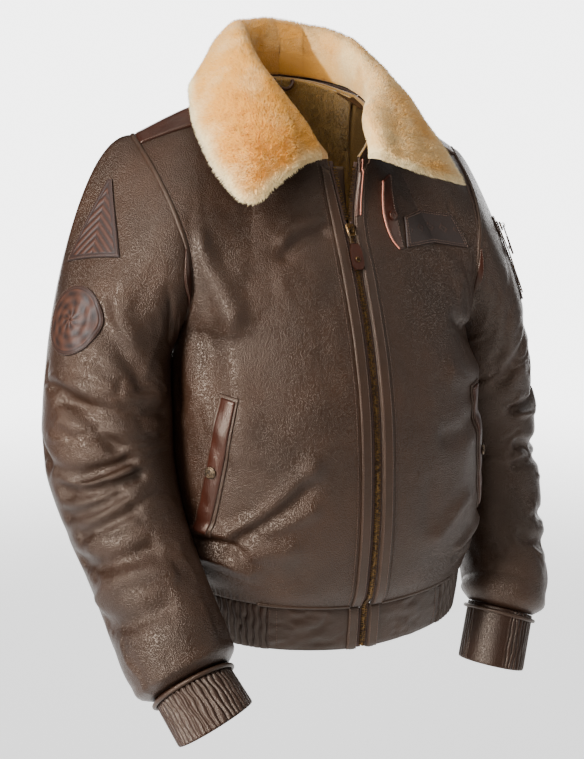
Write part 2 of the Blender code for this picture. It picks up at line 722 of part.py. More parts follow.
def quad_places(corners, rows, columns):
    """Places inside four corners, given as (rise, across) round from the low middle one."""
    low_in, low_out, high_out, high_in = (np.array(c, float) for c in corners)
    v = np.linspace(0, 1, rows)[:, None, None]
    h = np.linspace(0, 1, columns)[None, :, None]
    places = (low_in * (1 - v) + high_in * v) * (1 - h) + (low_out * (1 - v) + high_out * v) * h
    return places[..., 0], places[..., 1]


def facing_places(near, far, rises):
    """Across for two distances from the front's edge at each rise."""
    across = np.linspace(0, 0.3, 90)
    grid, _ = front_surface(rises, across, False)
    steps = np.linalg.norm(np.diff(grid, axis=1), axis=2)
    run = np.concatenate([np.zeros((len(rises), 1)), np.cumsum(steps, axis=1)], axis=1)
    return np.array([[np.interp(d, row, across) for d in (near, (near + far) / 2, far)] for row in run])


FACING_NEAR = 0.0012
FACING_FAR = 0.0145
FACING_TOP = 0.955
STRAP = table(
    "rise inner outer",
    (0.742, 0.236, 0.258),
    (0.760, 0.213, 0.262),
    (0.785, 0.196, 0.266),
    (0.825, 0.190, 0.274),
    (0.860, 0.205, 0.292),
    (0.890, 0.230, 0.320),
)
POCKET = ((0.177, 0.660), (0.187, 0.785), (0.457, 0.620), (0.450, 0.515))
POCKET_WELT = ((0.192, 0.692), (0.200, 0.752), (0.448, 0.596), (0.442, 0.540))
POCKET_SNAP = (0.320, 0.655)
SNAP_RADIUS = 0.0072
SNAP_THICK = 0.0022
SNAP_LIFT = 0.0012
WELT_THICK = 0.0025
STRAP_THICK = 0.0018
THROAT_SNAP = (0.815, 0.240)
THROAT_SNAP_RADIUS = 0.0060
SHOULDER_LIFT = 0.0020
CHEST_PATCH = ((0.745, 0.285), (0.757, 0.800), (0.820, 0.715), (0.807, 0.325))


def add_disc(name, centre, normal, radius, thick, sides, finish):
    """A flat round button with a softened rim, seen along its normal."""
    normal = unit(np.asarray(normal, float))
    aside = unit(np.cross(normal, (0.0, 0.0, 1.0)))
    up = np.cross(aside, normal)
    profile = ((0.0, radius), (0.6 * thick, radius), (thick, 0.78 * radius))
    points = []
    for height, reach in profile:
        for k in range(sides):
            turn = 2 * math.pi * k / sides
            points.append(centre + normal * height + (aside * math.cos(turn) + up * math.sin(turn)) * reach)
    faces = [tuple(range(sides)), tuple(range(2 * sides, 3 * sides))]
    for ring in range(2):
        for k in range(sides):
            n = (k + 1) % sides
            faces.append((ring * sides + k, ring * sides + n, (ring + 1) * sides + n, (ring + 1) * sides + k))
    return add_piece(name, np.array(points), faces, finish)


def add_snap(name, surface_spot, names, low, radius, finish, side):
    """A button set over whatever is built at a place on a front."""
    point, normal = spot(front_surface, *(np.array([[v]]) for v in surface_spot))
    point = on_side(point, side)
    normal = on_side(normal, side)
    base = rest(point, normal, names)
    add_disc(name, base[0, 0] + normal[0, 0] * low, normal[0, 0], radius, SNAP_THICK, 16, finish)


def build_front_trim():
    """Facing strips, pockets, throat strap and chest patch, all laid on the fronts."""
    rises = np.linspace(0.004, FACING_TOP, 15)
    across = facing_places(FACING_NEAR, FACING_FAR, rises)
    facing = spot(front_surface, np.repeat(rises[:, None], 3, axis=1), across)
    frame = spot(front_surface, *quad_places(POCKET, 6, 4))
    welt = spot(front_surface, *quad_places(POCKET_WELT, 6, 3))
    for side, sign in SIDES.items():
        front = ["front_" + side]
        lay("zip_facing_" + side, *facing, TRIM_LIFT, TRIM, front, leather, sign)
        lay("pocket_frame_" + side, *frame, TRIM_LIFT, TRIM, front, leather, sign)
        lay("pocket_welt_" + side, *welt, TRIM_LIFT, WELT_THICK, ["pocket_frame_" + side], brown, sign)
        add_snap("pocket_snap_" + side, POCKET_SNAP, ["pocket_welt_" + side], SNAP_LIFT, SNAP_RADIUS, leather, sign)
    rises = np.linspace(STRAP["rise"][0], STRAP["rise"][-1], 8)
    edges = follow(STRAP, rises, "inner outer")
    across = np.stack([edges[:, 0], edges.mean(axis=1), edges[:, 1]], axis=1)
    strap = spot(front_surface, np.repeat(rises[:, None], 3, axis=1), across)
    lay("throat_strap", *strap, TRIM_LIFT, STRAP_THICK, ["front_left"], brown)
    add_snap("throat_snap", THROAT_SNAP, ["throat_strap"], SNAP_LIFT, THROAT_SNAP_RADIUS, brass, 1)
    lay("chest_patch", *spot(front_surface, *quad_places(CHEST_PATCH, 5, 9)), TRIM_LIFT, TRIM, ["front_left"], leather)


def build_shoulder_bands():
    """A strip over each shoulder seam, half on the front and half on the back."""
    across = np.linspace(0.66, 0.985, 7)
    ahead = np.array([0.925, 0.96, 0.990])
    columns = np.repeat(across[None], 3, axis=0)
    front, front_normals = spot(front_surface, np.repeat(ahead[:, None], 7, axis=1), columns)
    back, back_normals = spot(back_surface, np.repeat(ahead[::-1, None], 7, axis=1), columns)
    front_normals[-1] = unit(front_normals[-1] * 2 + back_normals[0])
    back_normals[0] = unit(front_normals[-1] + back_normals[0] * 2)
    grid = np.concatenate([front, back])
    normals = np.concatenate([front_normals, back_normals])
    for side, sign in SIDES.items():
        lay("shoulder_band_" + side, grid, normals, SHOULDER_LIFT, TRIM, ["front_" + side, "back"], brown, sign)


# The waistband follows the hem, drawn in a little, and is gathered at the sides
BAND_INSET_TOP = 0.0045
BAND_INSET_LOW = 0.0110
BAND_WALL = 0.0035
RIB = 0.0016
WAIST_RIB_PITCH = 0.0086
BAND_FRONT_END = 0.118
BAND_BACK_START = 0.150


def hem_line():
    """The left half of the hem from the zip round to the middle of the back."""
    fine = np.linspace(0, 1, 161)
    front = front_surface(np.array([0.0, 0.01]), fine, False)[0][0]
    back = back_surface(np.array([0.0, 0.01]), fine, False)[0][0][::-1]
    points = np.concatenate([front, back[1:]])
    steps = np.linalg.norm(np.diff(points, axis=0), axis=1)
    return points, np.concatenate([[0], np.cumsum(steps)])


def band_points(girth, drop, proud):
    """Points of the band at lengths round from the zip; proud moves them out."""
    points, run = hem_line()
    spots = np.stack([np.interp(girth, run, points[:, k]) for k in range(3)], axis=-1)
    near = np.stack([np.interp(girth + 0.006, run, points[:, k]) for k in range(3)], axis=-1)
    past = np.stack([np.interp(girth - 0.006, run, points[:, k]) for k in range(3)], axis=-1)
    way = near - past
    out = unit(np.stack([-way[:, 1] * -1, way[:, 0] * -1, np.zeros(len(way))], axis=-1))
    rows = []
    for fall in drop:
        inset = BAND_INSET_TOP + (BAND_INSET_LOW - BAND_INSET_TOP) * (fall / BAND_HEIGHT) ** 1.5
        rows.append(spots + out * (proud - inset)[:, None] + np.array([0, 0, -fall]))
    return np.stack(rows)


def band_piece(name, start, end, ribs, finish, side):
    """One length of the band; ribs is how many gathers it has."""
    count = 2 * ribs if ribs else 8
    girth = np.linspace(start, end, count + 1)
    wave = RIB * np.where(np.arange(count + 1) % 2 == 0, -0.5, 0.5) if ribs else np.zeros(count + 1)
    drop = np.array([SEAM_GAP, BAND_HEIGHT / 2, BAND_HEIGHT])
    outer = band_points(girth, drop, wave)
    inner = band_points(girth, drop, np.full(count + 1, -BAND_WALL - (RIB / 2 if ribs else 0)))
    sign = SIDES[side]
    return shell(name, on_side(outer, sign), on_side(inner, sign), finish)


def build_waistband():
    """Plain leather by the zip and at the back, gathered leather at the sides."""
    total = hem_line()[1][-1]
    back_start = total - BAND_BACK_START
    ribs = round((back_start - BAND_FRONT_END) / WAIST_RIB_PITCH)
    for side in SIDES:
        band_piece("band_front_" + side, SEAM_GAP, BAND_FRONT_END - SEAM_GAP, 0, leather, side)
        band_piece("band_ribs_" + side, BAND_FRONT_END, back_start - SEAM_GAP, ribs, leather, side)
    girth = np.linspace(back_start, total, 8)
    drop = np.array([SEAM_GAP, BAND_HEIGHT / 2, BAND_HEIGHT])
    outer = band_points(girth, drop, np.zeros(8))
    inner = band_points(girth, drop, np.full(8, -BAND_WALL))
    outer = np.concatenate([outer, mirrored(outer[:, -2::-1])], axis=1)
    inner = np.concatenate([inner, mirrored(inner[:, -2::-1])], axis=1)
    shell("band_back", outer, inner, leather)


CUFF_RIBS = 34
CUFF_RIB = 0.0013
CUFF_WALL = 0.003
CUFF_START = 0.007      # of the cuff's length, clear of the sleeve's end
CUFFS = {
    "right": (SLEEVE_RIGHT, CUFF_RIGHT_END, 0.0445, 0.0455, (0.83, 0.99)),
    "left": (SLEEVE_LEFT, CUFF_LEFT_END, 0.0425, 0.0425, (0.02, 0.22)),
}


def cuff_frame(side):
    """The cuff's two middles and the ways across it."""
    sections, end = CUFFS[side][:2]
    start = follow(sections, [1.0])[0]
    end = np.array(end, float)
    run = unit(end - start)
    out = unit(np.array([1.0, 0.0, 0.0]) - run * run[0])
    front = unit(np.cross(run, out))
    return start, end, out, front


def cuff_ring(side, part, radius, turns):
    """One ring of the cuff; part is 0 at the sleeve and 1 at the hand."""
    start, end, out, front = cuff_frame(side)
    _, sleeve_out, sleeve_front = arm_frame(CUFFS[side][0], np.array([1.0]))
    turned = min(1.0, part * 2)
    out = unit(sleeve_out[0] * (1 - turned) + out * turned)
    front = unit(sleeve_front[0] * (1 - turned) + front * turned)
    angle = turns * 2 * math.pi
    way = -np.cos(angle)[:, None] * out + np.sin(angle)[:, None] * front
    return start + (end - start) * part + way * np.asarray(radius)[:, None]


def build_cuffs():
    """Gathered leather cuffs with a plain stretch, and a welt where each sleeve ends."""
    count = 2 * CUFF_RIBS
    turns = np.arange(count) / count
    for side, (_, _, top, low, plain) in CUFFS.items():
        gathered = (turns < plain[0]) | (turns > plain[1])
        wave = np.where(gathered, np.where(np.arange(count) % 2 == 0, -0.5, 0.5), 0.35) * CUFF_RIB
        outer = []
        inner = []
        for part in (CUFF_START, 0.5, 1.0):
            radius = top + (low - top) * part
            outer.append(cuff_ring(side, part, radius + wave, turns))
            inner.append(cuff_ring(side, part, np.full(count, radius - CUFF_RIB / 2 - CUFF_WALL), turns))
        sign = SIDES[side]
        shell("cuff_" + side, on_side(np.stack(outer), sign), on_side(np.stack(inner), sign), leather, wrap=True)


NECK_LINING = 0.003
LINING_START = 0.66
LINING_LIFT = 0.0018


def build_neck_lining():
    """The pile that shows inside the open neck, a sheet behind the back's own points."""
    rises = body_rises(ROWS_BELOW, ROWS_ABOVE)
    across = np.linspace(0, 1, PANEL_COLUMNS + 1)
    grid, normals = back_surface(rises, across)
    first = int(np.argmax(rises > LINING_START))
    grid = grid[first:, :PANEL_COLUMNS // 2].copy()
    normals = normals[first:, :PANEL_COLUMNS // 2]
    grid[-1] += 0.15 * (grid[-2] - grid[-1])
    outer = grid - normals * (WALL + LINING_LIFT)
    inner = grid - normals * (WALL + LINING_LIFT + NECK_LINING)
    outer = np.concatenate([mirrored(outer[:, :0:-1]), outer], axis=1)
    inner = np.concatenate([mirrored(inner[:, :0:-1]), inner], axis=1)
    shell("neck_lining", outer, inner, fleece)


# The zip: half widths are measured inwards from the front's edge
TAPE_IN = 0.0038
CHAIN_IN = 0.0041
TEETH_IN = 0.0062
TAPE_SUNK = 0.0006
TAPE_THICK = 0.0012
CHAIN_PROUD = 0.0012
CHAIN_DEEP = 0.0018
SLIDER_RISE = 0.800
ZIP_TOP = 0.985


def zip_line(places):
    """The front's edge in left form; below 0 it runs down the waistband."""
    line = follow(CENTRE_FRONT, np.clip(places, 0, 1))
    drop = (-places).clip(0) * BAND_HEIGHT
    inset = BAND_INSET_TOP + (BAND_INSET_LOW - BAND_INSET_TOP) * (drop / BAND_HEIGHT) ** 1.5
    ease = np.clip(1 - places / 0.03, 0, 1)
    line[:, 1] += inset * ease
    line[:, 2] -= drop
    return line


def zip_normals(places):
    """The way out of the body along the zip."""
    step = 0.01
    run = unit(zip_line(places + step) - zip_line(places - step))
    run[:, 0] = 0
    run = unit(run)
    return np.stack([np.zeros(len(run)), -run[:, 2], run[:, 1]], axis=1)


def zip_strip(name, places, inner, outer, low, high, finish, side):
    """A strip beside the front's edge; distances are inwards from it and out from the body."""
    line = zip_line(places)
    out = zip_normals(places)
    aside = np.array([1.0, 0.0, 0.0])
    clear = 0.0016 * ((places - 0.78) / 0.2).clip(0)
    across = -np.stack([inner + clear, outer + clear], axis=1)[..., None] * aside
    grid = line[:, None] + across
    top = grid + out[:, None] * high
    bottom = grid + out[:, None] * low
    sign = SIDES[side]
    return shell(name, on_side(top, sign), on_side(bottom, sign), finish)


def build_zip():
    """Two cloth tapes, the closed chain up to the slider and the open teeth above it."""
    low = np.linspace(-0.97, 0.0, 4)
    high = np.linspace(0.03, ZIP_TOP, 19)
    places = np.concatenate([low, high])
    closed = places[places < SLIDER_RISE - 0.012]
    closed = np.append(closed, SLIDER_RISE - 0.012)
    opened = np.linspace(SLIDER_RISE + 0.024, ZIP_TOP - 0.01, 6)
    for side in SIDES:
        zip_strip("zip_tape_" + side, places, TAPE_IN, SEAM_GAP, -TAPE_SUNK - TAPE_THICK, -TAPE_SUNK, brown, side)
        zip_strip("zip_teeth_" + side, opened, TEETH_IN, CHAIN_IN, -CHAIN_DEEP, CHAIN_PROUD, brass, side)
    line = zip_line(closed)
    out = zip_normals(closed)
    half = (line[:, 0] - CHAIN_IN)[:, None]
    middle = line * np.array([0.0, 1.0, 1.0])
    aside = np.array([1.0, 0.0, 0.0])
    grid = np.stack([middle - aside * half, middle + aside * half], axis=1)
    shell("zip_chain", grid + out[:, None] * CHAIN_PROUD, grid - out[:, None] * CHAIN_DEEP, brass)


PLATE_LOW = CHAIN_PROUD + 0.0003
PLATE_THICK = 0.0022
PLATE_WIDE_TOP = 0.0120
PLATE_WIDE_LOW = 0.0086
PLATE_TALL = 0.0150
ARCH_WIDE = 0.0028
ARCH_TALL = 0.0080
ARCH_PROUD = 0.0044
ARCH_WALL = 0.0011
PULL_BAR = 0.0016
PULL_WIDE = 0.0090
PULL_LONG = 0.0170
TAB_WIDE = 0.0150
TAB_LONG = 0.0310
TAB_THICK = 0.0024
RIVET_RADIUS = 0.0032


def slider_frame(place):
    """The slider's middle on the chain and its ways up along the zip and out of it."""
    middle = zip_line(np.array([place]))[0] * np.array([0.0, 1.0, 1.0])
    out = zip_normals(np.array([place]))[0]
    up = np.array([0.0, out[2], -out[1]])
    up = up if up[2] > 0 else -up
    return middle, up, out


def add_block(name, corners_low, corners_high, finish):
    """A solid between two outlines with the same number of corners."""
    count = len(corners_low)
    faces = [tuple(range(count)), tuple(range(count, 2 * count))]
    faces += [(k, (k + 1) % count, count + (k + 1) % count, count + k) for k in range(count)]
    return add_piece(name, np.array(list(corners_low) + list(corners_high)), faces, finish)


def join_boolean(piece, other, operation):
    """A Boolean that stays live on the piece."""
    boolean = piece.modifiers.new(operation.title(), "BOOLEAN")
    boolean.operation = operation
    boolean.solver = "EXACT"
    boolean.object = other
    other.hide_render = True
    other.display_type = "WIRE"


HINGES = {}


def build_slider(name, place_frame, scale, finish):
    """A slider's front plate with a little arch that holds the pull."""
    middle, up, out = place_frame
    side = np.cross(up, out)

    def at(x, z, y):
        return middle + side * (x * scale) + up * (z * scale) + out * y

    low = PLATE_LOW
    shape = ((-PLATE_WIDE_TOP / 2, PLATE_TALL * 0.35), (-PLATE_WIDE_TOP * 0.36, PLATE_TALL / 2),
             (PLATE_WIDE_TOP * 0.36, PLATE_TALL / 2), (PLATE_WIDE_TOP / 2, PLATE_TALL * 0.35),
             (PLATE_WIDE_LOW / 2, -PLATE_TALL / 2), (-PLATE_WIDE_LOW / 2, -PLATE_TALL / 2))
    inset = 0.86
    base = [at(x, z, low) for x, z in shape]
    rim = [at(x, z, low + 0.6 * PLATE_THICK) for x, z in shape]
    face = [at(x * inset, z * inset, low + PLATE_THICK) for x, z in shape]
    count = len(shape)
    faces = [tuple(range(count)), tuple(range(2 * count, 3 * count))]
    for ring in range(2):
        for k in range(count):
            n = (k + 1) % count
            faces.append((ring * count + k, ring * count + n, (ring + 1) * count + n, (ring + 1) * count + k))
    plate = add_piece(name, np.array(base + rim + face), faces, finish)
    foot = low + PLATE_THICK - 0.0004
    head = low + PLATE_THICK + ARCH_PROUD
    half = ARCH_TALL / 2
    outline = ((-half, foot), (-half, head - 0.0015), (-half + 0.0015, head), (half - 0.0015, head),
               (half, head - 0.0015), (half, foot), (half - ARCH_WALL, foot), (half - ARCH_WALL, head - 0.0015),
               (half - 0.0019, head - ARCH_WALL), (-half + 0.0019, head - ARCH_WALL),
               (-half + ARCH_WALL, head - 0.0015), (-half + ARCH_WALL, foot))
    arch = add_block(name + "_arch", [at(-ARCH_WIDE / 2, z, y) for z, y in outline],
                     [at(ARCH_WIDE / 2, z, y) for z, y in outline], finish)
    join_boolean(plate, arch, "UNION")
    hinge = middle + out * (low + PLATE_THICK + ARCH_PROUD / 2 - 0.0002)
    HINGES[name] = (hinge, side)
    return hinge


def tube(name, path, radius, sides, finish, closed=False, squash=1.0):
    """A round bar along points, with flat ends unless it closes on itself."""
    path = np.array(path, float)
    ahead = np.roll(path, -1, axis=0) - np.roll(path, 1, axis=0)
    if not closed:
        ahead[0] = path[1] - path[0]
        ahead[-1] = path[-1] - path[-2]
    ahead = unit(ahead)
    guide = unit(np.cross(ahead[0], (0.31, 0.55, 0.77)))
    points = []
    for place, way in zip(path, ahead):
        guide = unit(guide - way * (guide @ way))
        other = np.cross(way, guide)
        for k in range(sides):
            turn = 2 * math.pi * k / sides
            points.append(place + radius * (guide * math.cos(turn) + other * math.sin(turn) * squash))
    count = len(path)
    faces = []
    for r in range(count if closed else count - 1):
        n = (r + 1) % count
        for k in range(sides):
            m = (k + 1) % sides
            faces.append((r * sides + k, r * sides + m, n * sides + m, n * sides + k))
    if not closed:
        faces.append(tuple(range(sides)))
        faces.append(tuple(range((count - 1) * sides, count * sides)))
    return add_piece(name, np.array(points), faces, finish)


def build_pull(name, hinge, down, out, finish_bar, finish_tab, scale=1.0):
    """A wire frame through the arch, a leather tab below it and a rivet."""
    side = unit(np.cross(down, out))
    wide = PULL_WIDE / 2 * scale
    long = PULL_LONG * scale

    def at(x, z, y=0.0):
        return hinge + side * x + down * z + out * y

    ring = [at(-wide, 0), at(-wide * 0.4, 0), at(wide * 0.4, 0), at(wide, 0), at(wide, long * 0.5), at(wide, long),
            at(0, long), at(-wide, long), at(-wide, long * 0.5)]
    tube(name + "_frame", ring, PULL_BAR / 2, 8, finish_bar, closed=True)
    top = long + PULL_BAR / 2 + 0.0003
    half = TAB_WIDE / 2 * scale
    tall = TAB_LONG * scale
    shape = ((-half * 0.62, top), (half * 0.62, top), (half, top + tall * 0.28), (half, top + tall - half * 0.7),
             (half * 0.6, top + tall), (-half * 0.6, top + tall), (-half, top + tall - half * 0.7),
             (-half, top + tall * 0.28))
    add_block(name + "_tab", [at(x, z, -TAB_THICK / 2) for x, z in shape],
              [at(x, z, TAB_THICK / 2) for x, z in shape], finish_tab)
    add_disc(name + "_rivet", at(0, top + tall * 0.62, TAB_THICK / 2 + 0.0003), out, RIVET_RADIUS * scale, 0.0014, 12,
             finish_bar)


PULL_DROP = 0.105       # in rise, from the slider to the tab's end
PULL_CLEAR = 0.0010


def front_pull_frame(hinge):
    """The way the front pull hangs from its hinge, clear of the facing strips."""
    target = SLIDER_RISE - PULL_DROP
    foot = zip_line(np.array([target]))[0] * np.array([0.0, 1.0, 1.0])
    foot = foot + zip_normals(np.array([target]))[0] * (TRIM_LIFT + TRIM + TAB_THICK / 2 + PULL_CLEAR)
    down = unit(foot - hinge)
    out = unit(np.cross(down, (1.0, 0.0, 0.0)))
    return down, out if out[1] < 0 else -out


def build_front_pull():
    """The slider where the zip is closed to, and the pull that hangs from it."""
    hinge = build_slider("zip_slider", slider_frame(SLIDER_RISE), 1.0, brass)
    build_pull("front_pull", hinge, *front_pull_frame(hinge), brass, brown)


def build_wind_flap():
    """The flap behind the zip on the wearer's right, seen in the open neck."""
    rises = np.linspace(0.56, 0.975, 7)
    line = zip_line(rises)
    out = zip_normals(rises)
    edge = line[:, 0]
    columns = np.stack([-edge - 0.014, -edge - 0.006, -edge + 0.002, np.full(len(rises), 0.004)], axis=1)
    grid = np.repeat(line[:, None] * np.array([0.0, 1.0, 1.0]), 4, axis=1)
    grid[..., 0] = columns
    grid[:, 0, 1] += 0.0036
    low = -(WALL + 0.0052)
    shell("wind_flap", grid + out[:, None] * (low + 0.002), grid + out[:, None] * low, leather)


def sleeve_grid(side):
    """A fine sheet of one sleeve's outside, for what lies on it."""
    sections, folds, full = SLEEVES[side]
    turns = np.arange(120) / 120
    return sleeve_surface(sections, folds, full, 40, 90, turns)


def sleeve_spot(sheet, head, turns):
    """Points and normals of a sleeve; head is 0 at the armhole, 1 where the tube starts and 2 at its end."""
    grid, normals = sheet
    row = np.where(head <= 1, head * 40, 40 + (head - 1) * 90)
    column = (turns % 1) * 120
    r = np.clip(row.astype(int), 0, len(grid) - 2)
    c = column.astype(int) % 120
    d = (c + 1) % 120
    fr = (row - r)[..., None]
    fc = (column - column.astype(int))[..., None]

    def mix(values):
        return ((values[r, c] * (1 - fc) + values[r, d] * fc) * (1 - fr)
                + (values[r + 1, c] * (1 - fc) + values[r + 1, d] * fc) * fr)

    return mix(grid), unit(mix(normals))


def press(targets, way, sheet):
    """Drop points along one way onto a sheet, each to the plane at its nearest point."""
    grid, normals = sheet
    places = grid.reshape(-1, 3)
    ways = normals.reshape(-1, 3)
    facing = ways @ way > 0.2
    places = places[facing]
    ways = ways[facing]
    flat = targets.reshape(-1, 3)
    points = np.empty_like(flat)
    outs = np.empty_like(flat)
    for i, target in enumerate(flat):
        for _ in range(3):
            near = np.argmin(((places - target) ** 2).sum(axis=1))
            target = target + way * (((places[near] - target) @ ways[near]) / (way @ ways[near]))
        points[i] = target
        outs[i] = ways[near]
    return points.reshape(targets.shape), outs.reshape(targets.shape)


PATCH_LIFT = 0.0009
TRIANGLE_PATCH = {"head": 0.43, "turn": 0.440, "wide": 0.062, "tall": 0.100, "tilt": -0.10}
ROUND_PATCH = {"head": 0.835, "turn": 0.415, "radius": 0.037}


def patch_frame(sheet, head, turn):
    """A patch's middle, the way it faces and its ways across and up."""
    point, normal = sleeve_spot(sheet, np.array([head]), np.array([turn]))
    way = normal[0]
    across = unit(np.cross((0.0, 0.0, 1.0), way))
    return point[0], way, across, np.cross(way, across)


def build_sleeve_patches():
    """A triangle and a round patch on the right sleeve, plain here."""
    sheet = sleeve_grid("right")
    sign = SIDES["right"]
    spec = TRIANGLE_PATCH
    middle, way, across, up = patch_frame(sheet, spec["head"], spec["turn"])
    tilt = spec["tilt"]
    across, up = across * math.cos(tilt) + up * math.sin(tilt), up * math.cos(tilt) - across * math.sin(tilt)
    v = np.linspace(0, 1, 6)[:, None, None]
    h = np.linspace(-0.5, 0.5, 5)[None, :, None]
    targets = middle + up * ((v - 0.5) * spec["tall"]) + across * (h * spec["wide"] * (1.06 - v))
    points, normals = press(targets, way, sheet)
    lay("patch_triangle", points, normals, PATCH_LIFT, TRIM, ["sleeve_right"], brown, sign)
    middle, way, across, up = patch_frame(sheet, ROUND_PATCH["head"], ROUND_PATCH["turn"])
    reach = np.array([0.25, 0.6, 0.85, 1.0])[:, None, None] * ROUND_PATCH["radius"]
    turn = (np.arange(20) / 20 * 2 * math.pi)[None, :, None]
    targets = middle + across * (reach * np.cos(turn)) + up * (reach * np.sin(turn))
    points, normals = press(targets, way, sheet)
    points = on_side(points, sign)
    normals = on_side(normals, sign)
    base = rest(points, normals, ["sleeve_right"], wrap=True)
    top = base + normals * (PATCH_LIFT + TRIM)
    shell_disc("patch_round", top, base + normals * PATCH_LIFT, brown)


def shell_disc(name, outer, inner, finish):
    """A round wall: rings from the middle out, the innermost closed by one face."""
    rings, count = outer.shape[:2]
    points = np.concatenate([outer.reshape(-1, 3), inner.reshape(-1, 3)])
    half = rings * count
    faces = [tuple(range(count)), tuple(half + k for k in reversed(range(count)))]
    for r in range(rings - 1):
        for k in range(count):
            n = (k + 1) % count
            corner = (r * count + k, r * count + n, (r + 1) * count + n, (r + 1) * count + k)
            faces.append(corner)
            faces.append(tuple(half + i for i in reversed(corner)))
    last = (rings - 1) * count
    for k in range(count):
        n = (k + 1) % count
        faces.append((last + k, last + n, half + last + n, half + last + k))
    return add_piece(name, points, faces, finish)


def build_gussets():
    """A narrow leaf of brown leather in front of each underarm."""
    turns = np.linspace(0.13, 0.36, 9)
    swell = np.sin(math.pi * (turns - turns[0]) / (turns[-1] - turns[0]))
    for side, sign in SIDES.items():
        sheet = sleeve_grid(side)
        head = 0.06 + np.linspace(0, 1, 4)[:, None] * (0.10 + 0.28 * swell)[None, :]
        points, normals = sleeve_spot(sheet, head, np.repeat(turns[None], 4, axis=0))
        lay("underarm_gusset_" + side, points, normals, PATCH_LIFT, TRIM, ["sleeve_" + side], brown, sign)


SLEEVE_PULL_SCALE = 0.8
SLEEVE_SLIDER_LIFT = 0.0008
SLEEVE_POCKET = {"head": 0.62, "turn": 0.435, "wide": 0.024, "tall": 0.115}


def build_sleeve_pocket():
    """A zipped pocket on the outside of the left sleeve, with a ring and a strap as its pull."""
    sheet = sleeve_grid("left")
    middle, way, across, up = patch_frame(sheet, SLEEVE_POCKET["head"], SLEEVE_POCKET["turn"])
    v = np.linspace(-0.5, 0.5, 8)[:, None, None]
    h = np.linspace(-0.5, 0.5, 4)[None, :, None]
    targets = middle + up * (v * SLEEVE_POCKET["tall"]) + across * (h * SLEEVE_POCKET["wide"])
    points, normals = press(targets, way, sheet)
    lay("sleeve_pocket", points, normals, PATCH_LIFT, TRIM, ["sleeve_left"], leather)
    targets = middle + up * (v * (SLEEVE_POCKET["tall"] - 0.016)) + across * (h[:, 1:3] * 0.014)
    points, normals = press(targets, way, sheet)
    lay("sleeve_zip_chain", points, normals, TRIM_LIFT, TRIM, ["sleeve_pocket"], brass)
    top = middle + up * (SLEEVE_POCKET["tall"] * 0.36)
    foot = top - up * (PULL_LONG + TAB_LONG) * SLEEVE_PULL_SCALE
    points, normals = press(np.stack([[top], [foot]]), way, sheet)
    base = rest(points, normals, ["sleeve_zip_chain"])
    out = normals[0, 0]
    up = unit(points[0, 0] - points[1, 0])
    side = unit(np.cross(up, out))
    up = np.cross(out, side)
    seat = base[0, 0] + out * (SLEEVE_SLIDER_LIFT - PLATE_LOW)
    hinge = build_slider("sleeve_slider", (seat, up, out), SLEEVE_PULL_SCALE, brass)
    lying = base[1, 0] + normals[1, 0] * (TAB_THICK + SLEEVE_SLIDER_LIFT)
    down = unit(lying - hinge)
    down = unit(down - side * (down @ side))
    build_pull("sleeve_pull", hinge, down, np.cross(side, down), brass, brown, SLEEVE_PULL_SCALE)


CUFF_WELT = 0.0022


def build_cuff_welts():
    """A round welt where each sleeve is drawn into its cuff."""
    turns = np.arange(24) / 24
    for side, (_, _, top, _, _) in CUFFS.items():
        radius = top + CUFF_RIB + CUFF_WELT + SEAM_GAP
        ring = cuff_ring(side, 0.10, np.full(24, radius), turns)
        tube("cuff_welt_" + side, on_side(ring, SIDES[side]), CUFF_WELT, 6, leather, closed=True)


def build_hanger_loop():
    """The loop inside the nape."""
    turn = np.linspace(math.pi, 2 * math.pi, 9)
    lowest = NAPE_INSIDE + np.array([0.0, 0.0, 0.0])
    path = np.stack([0.013 * np.cos(turn), np.full(9, lowest[1]) - 0.003 * np.abs(np.sin(turn)),
                     lowest[2] + 0.013 * np.sin(turn)], axis=1)
    tube("hanger_loop", path, 0.0021, 8, brown)


NAPE_INSIDE = np.array([0.0, 0.0560, -0.0055])


def build_all():
    for thing in list(bpy.data.objects):
        bpy.data.objects.remove(thing, do_unlink=True)
    build_body()
    build_sleeves()
    build_collar()
    build_front_trim()
    build_shoulder_bands()
    build_waistband()
    build_cuffs()
    build_neck_lining()
    build_zip()
    build_front_pull()
    build_wind_flap()
    build_sleeve_patches()
    build_gussets()
    build_sleeve_pocket()
    build_cuff_welts()
    build_hanger_loop()


build_all()
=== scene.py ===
# %% [markdown]
# # A faux leather bomber jacket, the fine pieces
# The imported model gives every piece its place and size. Here each soft piece is made again, finer,
# from the same few tables of section curves. The snaps and the zip's teeth are made anew as well,
# and the sliders, the pulls and the sleeve pocket's zip keep their packed form and get a finish.
# Units are metres, +Z is up, the front faces -Y and +X is the wearer's left.

import math

import bpy
import numpy as np
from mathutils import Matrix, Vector
from mathutils.bvhtree import BVHTree


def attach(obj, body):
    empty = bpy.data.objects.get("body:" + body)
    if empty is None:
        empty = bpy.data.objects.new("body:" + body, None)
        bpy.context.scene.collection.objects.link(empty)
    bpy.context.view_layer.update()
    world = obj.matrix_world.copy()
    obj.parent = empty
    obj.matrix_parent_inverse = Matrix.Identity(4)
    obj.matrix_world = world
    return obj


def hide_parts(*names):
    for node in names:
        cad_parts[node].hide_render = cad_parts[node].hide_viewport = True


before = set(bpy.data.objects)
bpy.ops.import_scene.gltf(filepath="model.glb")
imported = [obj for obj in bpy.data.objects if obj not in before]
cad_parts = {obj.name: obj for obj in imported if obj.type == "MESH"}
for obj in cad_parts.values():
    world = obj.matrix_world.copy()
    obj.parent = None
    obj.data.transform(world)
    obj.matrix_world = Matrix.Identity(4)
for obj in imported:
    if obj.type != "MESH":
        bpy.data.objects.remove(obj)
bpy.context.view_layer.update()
rng = np.random.default_rng(11)
print(len(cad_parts), "packed nodes")

